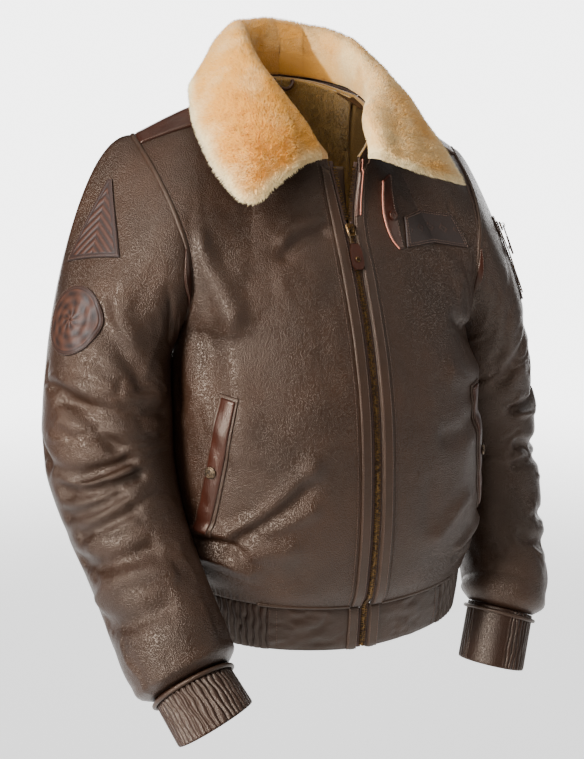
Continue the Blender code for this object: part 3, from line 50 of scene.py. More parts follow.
# %% [markdown]
# ## Curves and tables
# A jacket is cut from flat panels, but a worn one is easier to describe by where its seams run.
# Each table holds a seam's points, and a smooth curve through them gives any place between.

# %% Curves
WALL = 0.004            # bonded faux shearling, leather face and pile back
SEAM_GAP = 0.0003       # between pieces
ZIP_HALF_GAP = 0.0062   # from the middle of the zip to the front's edge
NECK_CORNER = 0.022     # half of the open neck at its lowest point
ARMPIT = 0.55           # rise of the armpit, from 0 at the hem to 1 at the shoulder
SHOULDER_POINT = 0.5    # across, where the neck ends and the shoulder seam starts
BAND_HEIGHT = 0.058     # waistband
LEAN = 0.035            # how far the right shoulder is up, over the distance across
FULL_RIGHT = 1.08       # how full the head of each sleeve is
FULL_LEFT = 0.78
TIP_LIFT_RIGHT = -0.006  # the collar's right leaf lies lower than the left
TIP_LIFT_LEFT = 0.016
SPREAD_RIGHT = 1.10     # how far each half of the collar falls outwards
SPREAD_LEFT = 0.60
UP_SCALE_FRONT = 0.56   # metres up a front, and up the back, for a rise of 1
UP_SCALE_BACK = 0.62
ACROSS_SCALE = 0.24     # metres round half a body
CAMERA_PLACE = (-0.6451, -1.3542, -0.085)


def table(columns, *rows):
    """A short table as a dict of named columns."""
    values = np.array(rows, float)
    return {name: values[:, i] for i, name in enumerate(columns.split())}


def follow(rows, places, names="x y z"):
    """Smooth values of some columns at places along the table's first column."""
    steps = rows[next(iter(rows))]
    places = np.clip(np.atleast_1d(np.asarray(places, float)), steps[0], steps[-1])
    spans = np.diff(steps)
    cell = np.clip(np.searchsorted(steps, places, side="right") - 1, 0, len(spans) - 1)
    part = (places - steps[cell]) / spans[cell]
    out = []
    for name in names.split():
        value = rows[name]
        slope = np.diff(value) / spans
        tangent = np.empty(len(value))
        tangent[0] = slope[0]
        tangent[-1] = slope[-1]
        tangent[1:-1] = (slope[:-1] * spans[1:] + slope[1:] * spans[:-1]) / (spans[1:] + spans[:-1])
        a = value[cell]
        b = value[cell + 1]
        ta = tangent[cell] * spans[cell]
        tb = tangent[cell + 1] * spans[cell]
        out.append(a + part * (ta + part * (3 * (b - a) - 2 * ta - tb + part * (2 * (a - b) + ta + tb))))
    return np.stack(out, axis=-1)


def between(values, row, column, wrap=False):
    """A grid's values at fractional rows and columns; wrap joins its last column to its first."""
    rows, columns = values.shape[:2]
    row, column = np.broadcast_arrays(row, column)
    r = np.clip(row.astype(int), 0, rows - 2)
    c = np.clip(column.astype(int), 0, columns - (1 if wrap else 2))
    d = (c + 1) % columns
    more = (1,) * (values.ndim - 2)
    down = (row - r).reshape(r.shape + more)
    along = (column - c).reshape(c.shape + more)
    low = values[r, c] * (1 - along) + values[r, d] * along
    high = values[r + 1, c] * (1 - along) + values[r + 1, d] * along
    return low * (1 - down) + high * down


def run_of(points):
    """Lengths along a line of points, from 0 at its first."""
    return np.concatenate([[0], np.cumsum(np.linalg.norm(np.diff(points, axis=0), axis=1))])


def at_runs(places, run, points):
    """Points of a line at some lengths along it."""
    return np.stack([np.interp(places, run, points[:, k]) for k in range(3)], axis=-1)


def lean(points):
    """The jacket hangs with its right shoulder a little higher than its left."""
    points = np.array(points, float)
    points[:, 2] -= LEAN * points[:, 0]
    return points


def unit(vectors):
    """Vectors of length 1."""
    return vectors / np.maximum(np.linalg.norm(vectors, axis=-1, keepdims=True), 1e-9)


print("curves pass through every row of their table")

# %% [markdown]
# ## The body's seams
# Half a body is enough: centre front, centre back, side seam, armhole, neck and shoulder.
# A squarer ellipse between two seams gives the panel's round.

# %% Body tables
CENTRE_FRONT = table(
    "rise x y z",
    (0, ZIP_HALF_GAP, -0.18, -0.628),
    (0.05, ZIP_HALF_GAP, -0.19, -0.608),
    (0.13, ZIP_HALF_GAP, -0.1985, -0.565),
    (0.26, ZIP_HALF_GAP, -0.204, -0.494),
    (0.42, ZIP_HALF_GAP, -0.1985, -0.39),
    (0.55, ZIP_HALF_GAP, -0.181, -0.313),
    (0.68, ZIP_HALF_GAP, -0.152, -0.235),
    (0.8, ZIP_HALF_GAP + 0.0005, -0.129, -0.185),
    (1, NECK_CORNER, -0.111, -0.1),
)
CENTRE_BACK = table(
    "rise x y z",
    (0, 0, 0.072, -0.616),
    (0.05, 0, 0.08, -0.598),
    (0.13, 0, 0.084, -0.562),
    (0.26, 0, 0.084, -0.494),
    (0.42, 0, 0.088, -0.39),
    (0.55, 0, 0.094, -0.3),
    (0.68, 0, 0.099, -0.22),
    (0.84, 0, 0.094, -0.11),
    (1, 0, 0.066, -0.002),
)
SIDE_SEAM = table(
    "rise x y z",
    (0, 0.19, -0.055, -0.611),
    (0.05, 0.198, -0.056, -0.593),
    (0.13, 0.202, -0.058, -0.556),
    (0.26, 0.2035, -0.06, -0.494),
    (0.42, 0.2, -0.06, -0.39),
    (0.55, 0.194, -0.058, -0.305),
)
ARMHOLE_FRONT = table(
    "rise x y z",
    (0.55, 0.194, -0.058, -0.305),
    (0.6, 0.19, -0.087, -0.29),
    (0.67, 0.188, -0.106, -0.252),
    (0.76, 0.192, -0.11, -0.212),
    (0.84, 0.201, -0.096, -0.172),
    (0.92, 0.21, -0.058, -0.128),
    (1, 0.218, 0, -0.084),
)
ARMHOLE_BACK = table(
    "rise x y z",
    (0.55, 0.194, -0.058, -0.305),
    (0.6, 0.192, -0.022, -0.294),
    (0.67, 0.19, 0.022, -0.262),
    (0.76, 0.192, 0.056, -0.212),
    (0.84, 0.197, 0.066, -0.166),
    (0.92, 0.206, 0.05, -0.12),
    (1, 0.218, 0, -0.084),
)
TOP_FRONT = table(
    "across x y z",
    (0, NECK_CORNER, -0.111, -0.1),
    (0.12, 0.041, -0.099, -0.08),
    (0.25, 0.056, -0.076, -0.058),
    (0.38, 0.067, -0.042, -0.037),
    (0.5, 0.072, -0.005, -0.024),
)
TOP_BACK = table(
    "across x y z",
    (0, 0, 0.066, -0.002),
    (0.15, 0.03, 0.061, -0.004),
    (0.28, 0.052, 0.047, -0.009),
    (0.4, 0.067, 0.022, -0.017),
    (0.5, 0.072, -0.005, -0.024),
)
SHOULDER = table(
    "across x y z",
    (0.5, 0.072, -0.005, -0.024),
    (0.75, 0.146, -0.004, -0.048),
    (1, 0.218, 0, -0.084),
)
SQUARENESS = table(
    "rise front back",
    (0, 2.45, 2.5),
    (0.3, 2.35, 2.5),
    (0.55, 2.15, 2.3),
    (0.8, 1.75, 1.9),
    (1, 1.5, 1.6),
)
TOP_BLEND_START = 0.62
TOP_BLEND_POWER = 1.6


def edge_points(rises, armhole):
    """The side seam below the armpit and one side of the armhole above it."""
    low = follow(SIDE_SEAM, rises)
    high = follow(armhole, rises)
    return np.where((rises <= ARMPIT)[:, None], low, high)


def half_panel(rises, across, centre, armhole, top, squareness):
    """Points of half the body, one row for each rise, from the middle to the side."""
    rises = np.atleast_1d(rises)
    across = np.atleast_1d(across)

    def arcs(at):
        inner = follow(centre, at)
        outer = edge_points(at, armhole)
        power = 2 / follow(SQUARENESS, at, squareness)
        turn = across[None, :] * math.pi / 2
        side = np.sin(turn) ** power
        depth = np.cos(turn).clip(0) ** power
        x = inner[:, None, 0] + (outer[:, None, 0] - inner[:, None, 0]) * side
        y = outer[:, None, 1] + (inner[:, None, 1] - outer[:, None, 1]) * depth
        z = inner[:, None, 2] + (outer[:, None, 2] - inner[:, None, 2]) * np.sin(turn)
        return np.stack([x, y, z], axis=-1)

    line = np.where((across <= SHOULDER_POINT)[:, None], follow(top, across), follow(SHOULDER, across))
    blend = ((rises - TOP_BLEND_START) / (1 - TOP_BLEND_START)).clip(0) ** TOP_BLEND_POWER
    lift = line[None] - arcs(np.array([1.0]))
    return arcs(rises) + blend[:, None, None] * lift


print("hem to shoulder on the centre back:", round(float(CENTRE_BACK["z"][-1] - CENTRE_BACK["z"][0]), 3), "m")

# %% [markdown]
# ## Folds
# A soft fold is a ridge or trough along a bowed line, and dies away past its ends.
# The large ones are where the photo shows them. Small creases are scattered by a seeded
# random choice, because their exact places don't matter and their direction does.

# %% Folds
def fold_table(*rows):
    """Folds by where each starts and ends, its sag, its width and its depth."""
    return table("first0 second0 first1 second1 sag width depth", *rows)


FRONT_FOLDS = fold_table(
    (0.175, 0.02, 0.06, 0.05, 0.01, 0.02, -0.0035),
    (0.2, 0.33, 0.13, 0.3, 0.015, 0.018, -0.004),
    (0.195, 0.27, 0.12, 0.2, 0.01, 0.02, 0.003),
    (0.06, 0.45, 0.15, 0.38, 0.01, 0.022, 0.003),
)
BACK_FOLDS = fold_table(
    (0.17, 0.02, 0.05, 0.05, 0.01, 0.022, -0.004),
    (0.19, 0.34, 0.08, 0.42, 0.012, 0.024, -0.004),
    (0.18, 0.1, 0.02, 0.13, -0.02, 0.026, 0.0035),
    (0.06, 0.53, 0.14, 0.47, 0.01, 0.022, 0.003),
)


def relief(first, second, folds):
    """Height of a set of folds at places given by two lengths."""
    height = np.zeros(np.broadcast(first, second).shape)
    for a0, b0, a1, b1, sag, width, depth in zip(*folds.values()):
        run = np.array([a1 - a0, b1 - b0])
        length = math.hypot(*run)
        run = run / length
        along = ((first - a0) * run[0] + (second - b0) * run[1]) / length
        aside = (second - b0) * run[0] - (first - a0) * run[1]
        bow = sag * 4 * along.clip(0, 1) * (1 - along.clip(0, 1))
        past = (np.abs(along - 0.5) - 0.5).clip(0) * length
        height += depth * np.exp(-((aside - bow) ** 2 + past ** 2) / width ** 2)
    return height


def grid_normals(grid, wrap=False):
    """Normals of a grid of points, rows by columns."""
    down = np.gradient(grid, axis=0)
    if wrap:
        along = np.roll(grid, -1, axis=1) - np.roll(grid, 1, axis=1)
    else:
        along = np.gradient(grid, axis=1)
    return unit(np.cross(along, down))


def scatter(seed, count, low, high, run, turn, width, depth):
    """A table of small random creases inside a box of two lengths, near one direction."""
    pick = np.random.default_rng(seed)
    first = pick.uniform(low[0], high[0], count)
    second = pick.uniform(low[1], high[1], count)
    angle = pick.normal(turn, 0.35, count)
    length = pick.uniform(0.5, 1.3, count) * run
    columns = [first, second, first + np.cos(angle) * length, second + np.sin(angle) * length,
               pick.normal(0, 0.15, count) * length, pick.uniform(0.7, 1.4, count) * width,
               pick.choice([-1.0, -0.6, 0.7], count) * pick.uniform(0.5, 1.2, count) * depth]
    return fold_table(*zip(*columns))


# What the right front shows beside its pocket and over the waistband
RIGHT_FRONT_FOLDS = fold_table(
    (0.136, 0.11, 0.05, 0.186, 0.004, 0.0095, 0.0042),
    (0.14, 0.094, 0.056, 0.166, 0.004, 0.01, -0.0034),
    (0.094, 0.118, 0.05, 0.142, 0.002, 0.0085, 0.0028),
    (0.124, 0.074, 0.072, 0.092, -0.003, 0.016, 0.0036),
    (0.192, 0.1, 0.134, 0.102, -0.008, 0.0075, 0.0034),
    (0.185, 0.088, 0.12, 0.085, -0.005, 0.0075, -0.003),
    (0.186, 0.066, 0.112, 0.056, -0.006, 0.01, 0.004),
    (0.2, 0.425, 0.138, 0.345, 0.004, 0.017, 0.0042),
    (0.138, 0.345, 0.118, 0.23, 0.002, 0.018, 0.0034),
    (0.176, 0.35, 0.16, 0.255, 0.002, 0.017, -0.0016),
    (0.034, 0.455, 0.078, 0.425, 0.004, 0.009, 0.0034),
    (0.03, 0.442, 0.076, 0.41, 0.004, 0.009, -0.0034),
)
LEFT_FRONT_FOLDS = fold_table(
    (0.186, 0.3, 0.12, 0.33, 0.004, 0.012, -0.0036),
    (0.18, 0.262, 0.09, 0.27, 0.006, 0.013, 0.0036),
    (0.17, 0.08, 0.1, 0.06, -0.006, 0.01, 0.004),
    (0.165, 0.062, 0.1, 0.046, -0.006, 0.009, -0.0036),
    (0.15, 0.225, 0.07, 0.205, 0.006, 0.011, -0.003),
    (0.06, 0.09, 0.11, 0.13, 0.004, 0.012, 0.003),
)


def puckers(across, up, seed, pitch=0.0085, reach=0.016, depth=0.0013):
    """Short gathers that rise from the waistband's seam."""
    pick = np.random.default_rng(seed)
    counts = np.cumsum(pick.uniform(0.6, 1.4, 40)) / 40 * 0.25 / pitch
    phase = np.interp(across, np.linspace(0, 0.25, 40), counts)
    strength = ((across - 0.085) / 0.05).clip(0, 1)
    return depth * strength * np.sin(phase * 2 * math.pi) * np.exp(-(up / reach) ** 2)


print(len(RIGHT_FRONT_FOLDS["depth"]), "folds on the right front")

# %% [markdown]
# ## Panel surfaces
# Each function returns points on the outside of one half of a panel, with normals. The `fine_`
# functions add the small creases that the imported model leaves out, and their `side` picks the folds.

# %% Panel surfaces
def with_folds(grid, normals, rises, across, folds, up_scale, rim):
    """The grid with a table of folds, which die away with the rim and below the shoulder."""
    up = np.atleast_1d(rises)[:, None] * up_scale
    out = np.atleast_1d(across)[None, :] * ACROSS_SCALE
    edge = rim[None, :] ** 0.5 * (1 - np.atleast_1d(rises).clip(0.8, 1) * 5 + 4)[:, None]
    return grid + normals * (relief(out, up, folds) * edge)[..., None]


def front_surface(rises, across, folded=True):
    """The left front's outer points and normals."""
    grid = half_panel(rises, across, CENTRE_FRONT, ARMHOLE_FRONT, TOP_FRONT, "front")
    normals = grid_normals(grid)
    if folded and len(np.atleast_1d(rises)) > 2:
        rim = np.sin(np.clip(np.atleast_1d(across), 0, 1) * math.pi)
        grid = with_folds(grid, normals, rises, across, FRONT_FOLDS, UP_SCALE_FRONT, rim)
    return grid, normals


def back_surface(rises, across, folded=True):
    """The left half of the back's outer points and normals."""
    grid = half_panel(rises, across, CENTRE_BACK, ARMHOLE_BACK, TOP_BACK, "back")
    normals = -grid_normals(grid)
    if folded and len(np.atleast_1d(rises)) > 2:
        rim = np.cos(np.clip(np.atleast_1d(across), 0, 1) * math.pi / 2)
        grid = with_folds(grid, normals, rises, across, BACK_FOLDS, UP_SCALE_BACK, rim)
    return grid, normals


def edge_mask(rises, across, inner):
    """1 in a panel's middle and 0 on its seams."""
    side = np.clip((1 - across) / 0.10, 0, 1)[None, :]
    if inner:
        side = side * np.clip(across / 0.10, 0, 1)[None, :]
    ends = (np.clip(rises / 0.03, 0, 1) * np.clip((1 - rises) / 0.06, 0, 1))[:, None]
    return side * ends


def fine_front(rises, across, side):
    """A front's points with its own folds, small creases and gathers; side is its sign."""
    grid, normals = front_surface(rises, across)
    up = rises[:, None] * UP_SCALE_FRONT
    out = across[None, :] * ACROSS_SCALE
    own = RIGHT_FRONT_FOLDS if side < 0 else LEFT_FRONT_FOLDS
    seed = 40 + side
    height = 1.5 * relief(out, up, own)
    height += relief(out, up, scatter(seed, 26, (0.06, 0.02), (0.20, 0.15), 0.035, 0.3, 0.0055, 0.0011))
    height += relief(out, up, scatter(seed + 5, 22, (0.12, 0.15), (0.23, 0.46), 0.035, 1.2, 0.0065, 0.0011))
    height += relief(out, up, scatter(seed + 9, 14, (0.02, 0.10), (0.12, 0.48), 0.05, 1.4, 0.011, 0.0010))
    height = height * edge_mask(rises, across, True)
    height = height + puckers(out, up, seed) * edge_mask(rises * 6, across, True)
    grid = grid + normals * height[..., None]
    return grid, grid_normals(grid)


def fine_back(rises, across, side):
    """Half the back's points with small creases, gathers and a fuller side."""
    grid, normals = back_surface(rises, across)
    up = rises[:, None] * UP_SCALE_BACK
    out = across[None, :] * ACROSS_SCALE
    seed = 70 + side
    height = relief(out, up, scatter(seed, 26, (0.05, 0.02), (0.20, 0.16), 0.04, 0.4, 0.0065, 0.0013))
    height += relief(out, up, scatter(seed + 5, 22, (0.10, 0.20), (0.23, 0.50), 0.04, 1.1, 0.0075, 0.0013))
    mask = edge_mask(rises, across, False)
    off_middle = np.clip(across / 0.06, 0, 1)[None, :]
    height = height * mask * off_middle
    height = height + puckers(out, up, seed) * edge_mask(rises * 6, across, False) * off_middle
    full_up = np.exp(-((rises - 0.32) / 0.16) ** 2)[:, None]
    full_across = np.exp(-((across - 0.84) / 0.13) ** 2)[None, :]
    height = height + 0.0085 * full_up * full_across * mask
    grid = grid + normals * height[..., None]
    return grid, -grid_normals(grid)


print("front panel:", fine_front(np.linspace(0, 1, 5), np.linspace(0, 1, 4), -1)[0].shape)

# %% [markdown]
# ## Sleeves
# A sleeve is a tube of ellipses along the arm. Its first rings blend from the armhole's curve,
# so the sleeve leaves the body in the direction the seam gives it.

# %% Sleeve tables
SLEEVE_RIGHT = table(
    "down x y z wide deep",
    (0, 0.268, -0.042, -0.34, 0.069, 0.079),
    (0.2, 0.277, -0.054, -0.395, 0.07, 0.0765),
    (0.36, 0.281, -0.063, -0.445, 0.07, 0.075),
    (0.56, 0.271, -0.087, -0.512, 0.0655, 0.072),
    (0.74, 0.257, -0.123, -0.571, 0.062, 0.068),
    (0.88, 0.246, -0.159, -0.621, 0.062, 0.065),
    (0.96, 0.238, -0.189, -0.658, 0.061, 0.062),
    (0.99, 0.233, -0.199, -0.672, 0.056, 0.056),
    (1, 0.2312, -0.2035, -0.6775, 0.0455, 0.0455),
)
SLEEVE_LEFT = table(
    "down x y z wide deep",
    (0, 0.256, -0.02, -0.32, 0.06, 0.075),
    (0.2, 0.272, -0.004, -0.38, 0.065, 0.074),
    (0.36, 0.284, 0.004, -0.44, 0.068, 0.072),
    (0.56, 0.288, -0.01, -0.52, 0.067, 0.069),
    (0.74, 0.283, -0.038, -0.585, 0.063, 0.065),
    (0.88, 0.274, -0.068, -0.638, 0.059, 0.06),
    (0.96, 0.263, -0.09, -0.67, 0.057, 0.058),
    (0.99, 0.2535, -0.0985, -0.6855, 0.053, 0.053),
    (1, 0.2505, -0.1003, -0.6935, 0.043, 0.043),
)
CUFF_RIGHT_END = (0.2185, -0.2445, -0.7100)
CUFF_LEFT_END = (0.2255, -0.1180, -0.7620)
SLEEVE_START = table(
    "turn x y z",
    (0, 0.01, 0, -0.03),
    (0.15, 0.03, -0.04, -0.03),
    (0.3, 0.05, -0.03, -0.05),
    (0.42, 0.08, 0, -0.05),
    (0.5, 0.14, 0.04, 0.01),
    (0.58, 0.13, 0.06, -0.01),
    (0.7, 0.07, 0.06, -0.04),
    (0.85, 0.04, 0.045, -0.03),
    (1, 0.01, 0, -0.03),
)
SLEEVE_HEAD_REACH = 0.16
RIGHT_FOLDS = fold_table(
    (0.3, 0.235, 0.325, 0.11, 0.02, 0.011, -0.006),
    (0.322, 0.21, 0.338, 0.11, 0.012, 0.009, 0.0045),
    (0.345, 0.2, 0.35, 0.1, 0.008, 0.01, -0.0055),
    (0.215, 0.2, 0.3, 0.12, -0.008, 0.012, -0.005),
    (0.375, 0.21, 0.372, 0.13, 0.006, 0.009, -0.004),
    (0.405, 0.2, 0.4, 0.12, 0.005, 0.009, -0.004),
    (0.43, 0.23, 0.455, 0.12, 0.01, 0.011, -0.0045),
    (0.48, 0.22, 0.49, 0.11, -0.01, 0.012, 0.0035),
    (0.505, 0.23, 0.52, 0.13, 0.006, 0.01, -0.0035),
    (0.13, 0.15, 0.21, 0.09, -0.01, 0.014, -0.004),
    (0.33, 0.33, 0.35, 0.42, 0.01, 0.014, -0.005),
    (0.39, 0.34, 0.38, 0.43, 0.01, 0.012, -0.0045),
    (0.24, 0.36, 0.3, 0.42, 0.006, 0.014, 0.0035),
)
LEFT_FOLDS = fold_table(
    (0.245, 0.21, 0.29, 0.12, 0.02, 0.012, -0.006),
    (0.29, 0.205, 0.3, 0.13, 0.012, 0.01, 0.004),
    (0.345, 0.22, 0.36, 0.12, 0.01, 0.011, -0.006),
    (0.385, 0.2, 0.395, 0.11, -0.008, 0.01, -0.0045),
    (0.43, 0.225, 0.47, 0.16, 0.01, 0.011, -0.0045),
    (0.15, 0.19, 0.23, 0.1, -0.01, 0.014, -0.0045),
    (0.33, 0.32, 0.35, 0.41, 0.01, 0.014, -0.005),
    (0.4, 0.33, 0.39, 0.42, 0.01, 0.012, -0.0045),
    (0.5, 0.2, 0.505, 0.11, 0.006, 0.01, -0.0035),
)
SLEEVES = {
    "right": (SLEEVE_RIGHT, RIGHT_FOLDS, FULL_RIGHT),
    "left": (SLEEVE_LEFT, LEFT_FOLDS, FULL_LEFT),
}
SLEEVE_LENGTH = 0.57
SLEEVE_GIRTH = 0.45


def arm_frame(sections, downs):
    """Centres of the sleeve's rings, and the ways to its outside and to its front."""
    centres = follow(sections, downs)
    step = 0.01
    runs = unit(follow(sections, downs + step) - follow(sections, downs - step))
    side = np.array([1.0, 0.0, 0.0])
    out = unit(side - runs * (runs @ side)[:, None])
    front = unit(np.cross(runs, out))
    return centres, out, front


def sleeve_ring(sections, downs, turns):
    """Points of the sleeve's rings; a turn of 0 faces the body and 0.25 the front."""
    centres, out, front = arm_frame(sections, downs)
    size = follow(sections, downs, "wide deep")
    angle = turns * 2 * math.pi
    aside = -np.cos(angle)[None, :, None] * size[:, None, 0:1] * out[:, None]
    ahead = np.sin(angle)[None, :, None] * size[:, None, 1:2] * front[:, None]
    return centres[:, None] + aside + ahead


def armhole_loop(turns):
    """The armhole, from the armpit over the front, the shoulder's tip and the back."""
    rise = ARMPIT + (1 - ARMPIT) * (1 - np.abs(turns * 2 - 1))
    ahead = follow(ARMHOLE_FRONT, rise)
    behind = follow(ARMHOLE_BACK, rise)
    return np.where((turns <= 0.5)[:, None], ahead, behind)


def ring_downs(rows):
    """Places of the tube's rings, a little closer together towards the hand."""
    downs = np.linspace(0, 1, rows + 1)
    return downs + 0.10 * downs * (1 - downs)


def arm_lengths(head_rows, rows):
    """Metres along the arm of every ring, first the head's and then the tube's."""
    head = np.linspace(0, 1, head_rows + 1)[:-1] * SLEEVE_HEAD_REACH
    return np.concatenate([head, SLEEVE_HEAD_REACH + ring_downs(rows) * (SLEEVE_LENGTH - SLEEVE_HEAD_REACH)])


def sleeve_surface(sections, folds, full, head_rows, rows, turns, folded=True):
    """The sleeve's outer points and normals, from the armhole to the cuff."""
    start = armhole_loop(turns)
    leave = follow(SLEEVE_START, turns) * full
    ring = sleeve_ring(sections, np.array([0.0]), turns)[0]
    fall = sleeve_ring(sections, np.array([0.04]), turns)[0] - ring
    reach = np.linalg.norm(ring - start, axis=1, keepdims=True)
    arrive = unit(fall) * reach
    part = np.linspace(0, 1, head_rows + 1)[:-1, None, None]
    head = (start * (2 * part ** 3 - 3 * part ** 2 + 1) + leave * (part ** 3 - 2 * part ** 2 + part)
            + ring * (3 * part ** 2 - 2 * part ** 3) + arrive * (part ** 3 - part ** 2))
    grid = np.concatenate([head, sleeve_ring(sections, ring_downs(rows), turns)])
    normals = -grid_normals(grid, wrap=True)
    if folded:
        along = arm_lengths(head_rows, rows)
        round_arm = turns[None, :] * SLEEVE_GIRTH
        ends = ((along / 0.05).clip(0, 1) * ((SLEEVE_LENGTH - along) / 0.02).clip(0, 1))[:, None]
        grid = grid + normals * (relief(along[:, None], round_arm, folds) * ends)[..., None]
        normals = -grid_normals(grid, wrap=True)
    return grid, normals


def sleeve_creases(seed, inside, head, head_depth):
    """Small creases inside the elbow, outside it, at the head and above the cuff."""
    return (
        scatter(seed, inside, (0.18, 0.07), (0.54, 0.25), 0.045, -1.35, 0.0052, 0.0019),
        scatter(seed + 1, 34, (0.18, 0.27), (0.55, 0.44), 0.05, 1.45, 0.0060, 0.0016),
        scatter(seed + 2, head, (0.06, 0.05), (0.20, 0.20), 0.05, -0.7, 0.0065, head_depth),
        scatter(seed + 3, 26, (0.50, 0.02), (0.565, 0.44), 0.018, 0.1, 0.0045, 0.0013),
    )


SLEEVE_CREASES = {"right": sleeve_creases(3, 46, 24, 0.0016), "left": sleeve_creases(13, 40, 20, 0.0014)}
ELBOW_FOLDS = fold_table(
    (0.205, 0.2, 0.224, 0.07, 0.006, 0.011, 0.0052),
    (0.236, 0.186, 0.246, 0.055, 0.004, 0.008, -0.0048),
    (0.264, 0.19, 0.27, 0.07, 0.004, 0.01, 0.0036),
    (0.1, 0.15, 0.205, 0.06, 0, 0.014, 0.0032),
)


def fine_sleeve(side, head_rows, rows, turns):
    """A sleeve's points with its small creases; the right one is fuller on its inside too."""
    sections, folds, full = SLEEVES[side]
    grid, normals = sleeve_surface(sections, folds, full, head_rows, rows, turns)
    along = arm_lengths(head_rows, rows)
    round_arm = turns[None, :] * SLEEVE_GIRTH
    ends = ((along / 0.03).clip(0, 1) * ((SLEEVE_LENGTH - along) / 0.006).clip(0, 1))[:, None]
    height = sum(relief(along[:, None], round_arm, own) for own in SLEEVE_CREASES[side])
    height = height + 0.5 * relief(along[:, None], round_arm, folds)
    if side == "right":
        height = height + relief(along[:, None], round_arm, ELBOW_FOLDS)
        toward = np.minimum(turns, 1 - turns)
        full_in = np.exp(-(toward / 0.13) ** 2)[None, :] * np.exp(-((along - 0.30) / 0.13) ** 2)[:, None]
        height = height + 0.0102 * full_in
    grid = grid + normals * (height * ends)[..., None]
    return grid, -grid_normals(grid, wrap=True)


print("sleeve rings run about", SLEEVE_LENGTH, "m along the arm")

# %% [markdown]
# ## The collar's sheet
# The collar stands up from the neck seam, rolls over and falls. A Bezier curve at each station
# round the neck gives that, and the fall is lifted where the shoulders would touch it.

# %% Collar table
COLLAR_THICK = 0.016
COLLAR_FALL_START = 0.5
COLLAR_FALL_GAP = 0.0085
COLLAR = table(
    "station nx ny nz ax ay az bx by bz ex ey ez",
    (0, 0, 0.07, 0.001, 0, 0.06, 0.088, 0, 0.112, 0.088, 0, 0.118, -0.028),
    (0.22, 0.047, 0.057, -0.003, 0.04, 0.043, 0.082, 0.062, 0.084, 0.074, 0.088, 0.088, -0.03),
    (0.45, 0.072, 0.014, -0.014, 0.06, 0.006, 0.064, 0.082, 0.02, 0.048, 0.128, 0.024, -0.03),
    (0.62, 0.075, -0.026, -0.028, 0.064, -0.036, 0.03, 0.096, -0.026, 0.022, 0.15, -0.022, -0.048),
    (0.8, 0.062, -0.072, -0.052, 0.058, -0.088, -0.018, 0.1, -0.088, -0.012, 0.162, -0.078, -0.086),
    (0.92, 0.042, -0.108, -0.083, 0.052, -0.122, -0.064, 0.096, -0.13, -0.06, 0.158, -0.12, -0.12),
    (1, 0.026, -0.124, -0.104, 0.058, -0.136, -0.097, 0.102, -0.152, -0.104, 0.148, -0.146, -0.146),
)


def collar_surface(stations, steps, tip_lift, spread):
    """The collar's middle sheet and its normals for one half in left form, back to front."""
    n = follow(COLLAR, stations, "nx ny nz")[:, None]
    a = follow(COLLAR, stations, "ax ay az")[:, None]
    b = follow(COLLAR, stations, "bx by bz")[:, None]
    e = follow(COLLAR, stations, "ex ey ez")[:, None]
    e[:, 0, 2] += tip_lift * np.asarray(stations) ** 4
    ease = 1 + (spread - 1) * np.sin(math.pi * np.asarray(stations)) ** 0.7
    e[:, 0, 0] = n[:, 0, 0] + (e[:, 0, 0] - n[:, 0, 0]) * ease
    b[:, 0, 0] = n[:, 0, 0] + (b[:, 0, 0] - n[:, 0, 0]) * ease
    q = np.asarray(steps)[None, :, None]
    grid = n * (1 - q) ** 3 + 3 * a * q * (1 - q) ** 2 + 3 * b * q ** 2 * (1 - q) + e * q ** 3
    return grid, -grid_normals(grid)


def body_cloud():
    """Points and normals of the left half of the body's top, for what lies over it."""
    rises = np.linspace(0.6, 1, 60)
    across = np.linspace(0, 1, 80)
    sheets = [surface(rises, across, False) for surface in (front_surface, back_surface)]
    places = np.concatenate([grid[:-1].reshape(-1, 3) for grid, _ in sheets])
    ways = np.concatenate([normals[:-1].reshape(-1, 3) for _, normals in sheets])
    return places, ways


def fall_lift(middle, steps):
    """How far, and which way, the fall moves to stay clear of the body."""
    places, ways = body_cloud()
    lift = np.zeros(middle.shape[:2])
    ahead = np.zeros(middle.shape)
    for i, row in enumerate(middle):
        for j, point in enumerate(row):
            near = np.argmin(((places - point) ** 2).sum(axis=1))
            ahead[i, j] = ways[near]
            if steps[j] >= COLLAR_FALL_START:
                height = (point - places[near]) @ ways[near]
                lift[i, j] = max(COLLAR_THICK / 2 + COLLAR_FALL_GAP - height, 0)
    for _ in range(2):
        padded = np.pad(lift, 1, mode="edge")
        around = padded[:-2, 1:-1] + padded[2:, 1:-1] + padded[1:-1, :-2] + padded[1:-1, 2:]
        lift = np.maximum(lift, around / 4)
    return ahead * lift[..., None]


def mirrored(grid):
    """The same points on the wearer's right."""
    return grid * np.array([-1.0, 1.0, 1.0])


def on_side(grid, side):
    """The points on the side with that sign."""
    return grid if side > 0 else mirrored(grid)


SIDES = {"left": 1, "right": -1}
print("collar stations:", len(COLLAR["station"]))

# %% [markdown]
# ## Finishes
# Every finish is made of nodes. A small class lets an output be added and multiplied like a
# number, so a recipe reads as a formula. Places come from object coordinates, so the grain
# keeps its size on every piece.

# %% Finish helpers
def plug(tree, socket, value):
    if isinstance(value, Wire):
        tree.links.new(value.socket, socket)
    else:
        socket.default_value = value


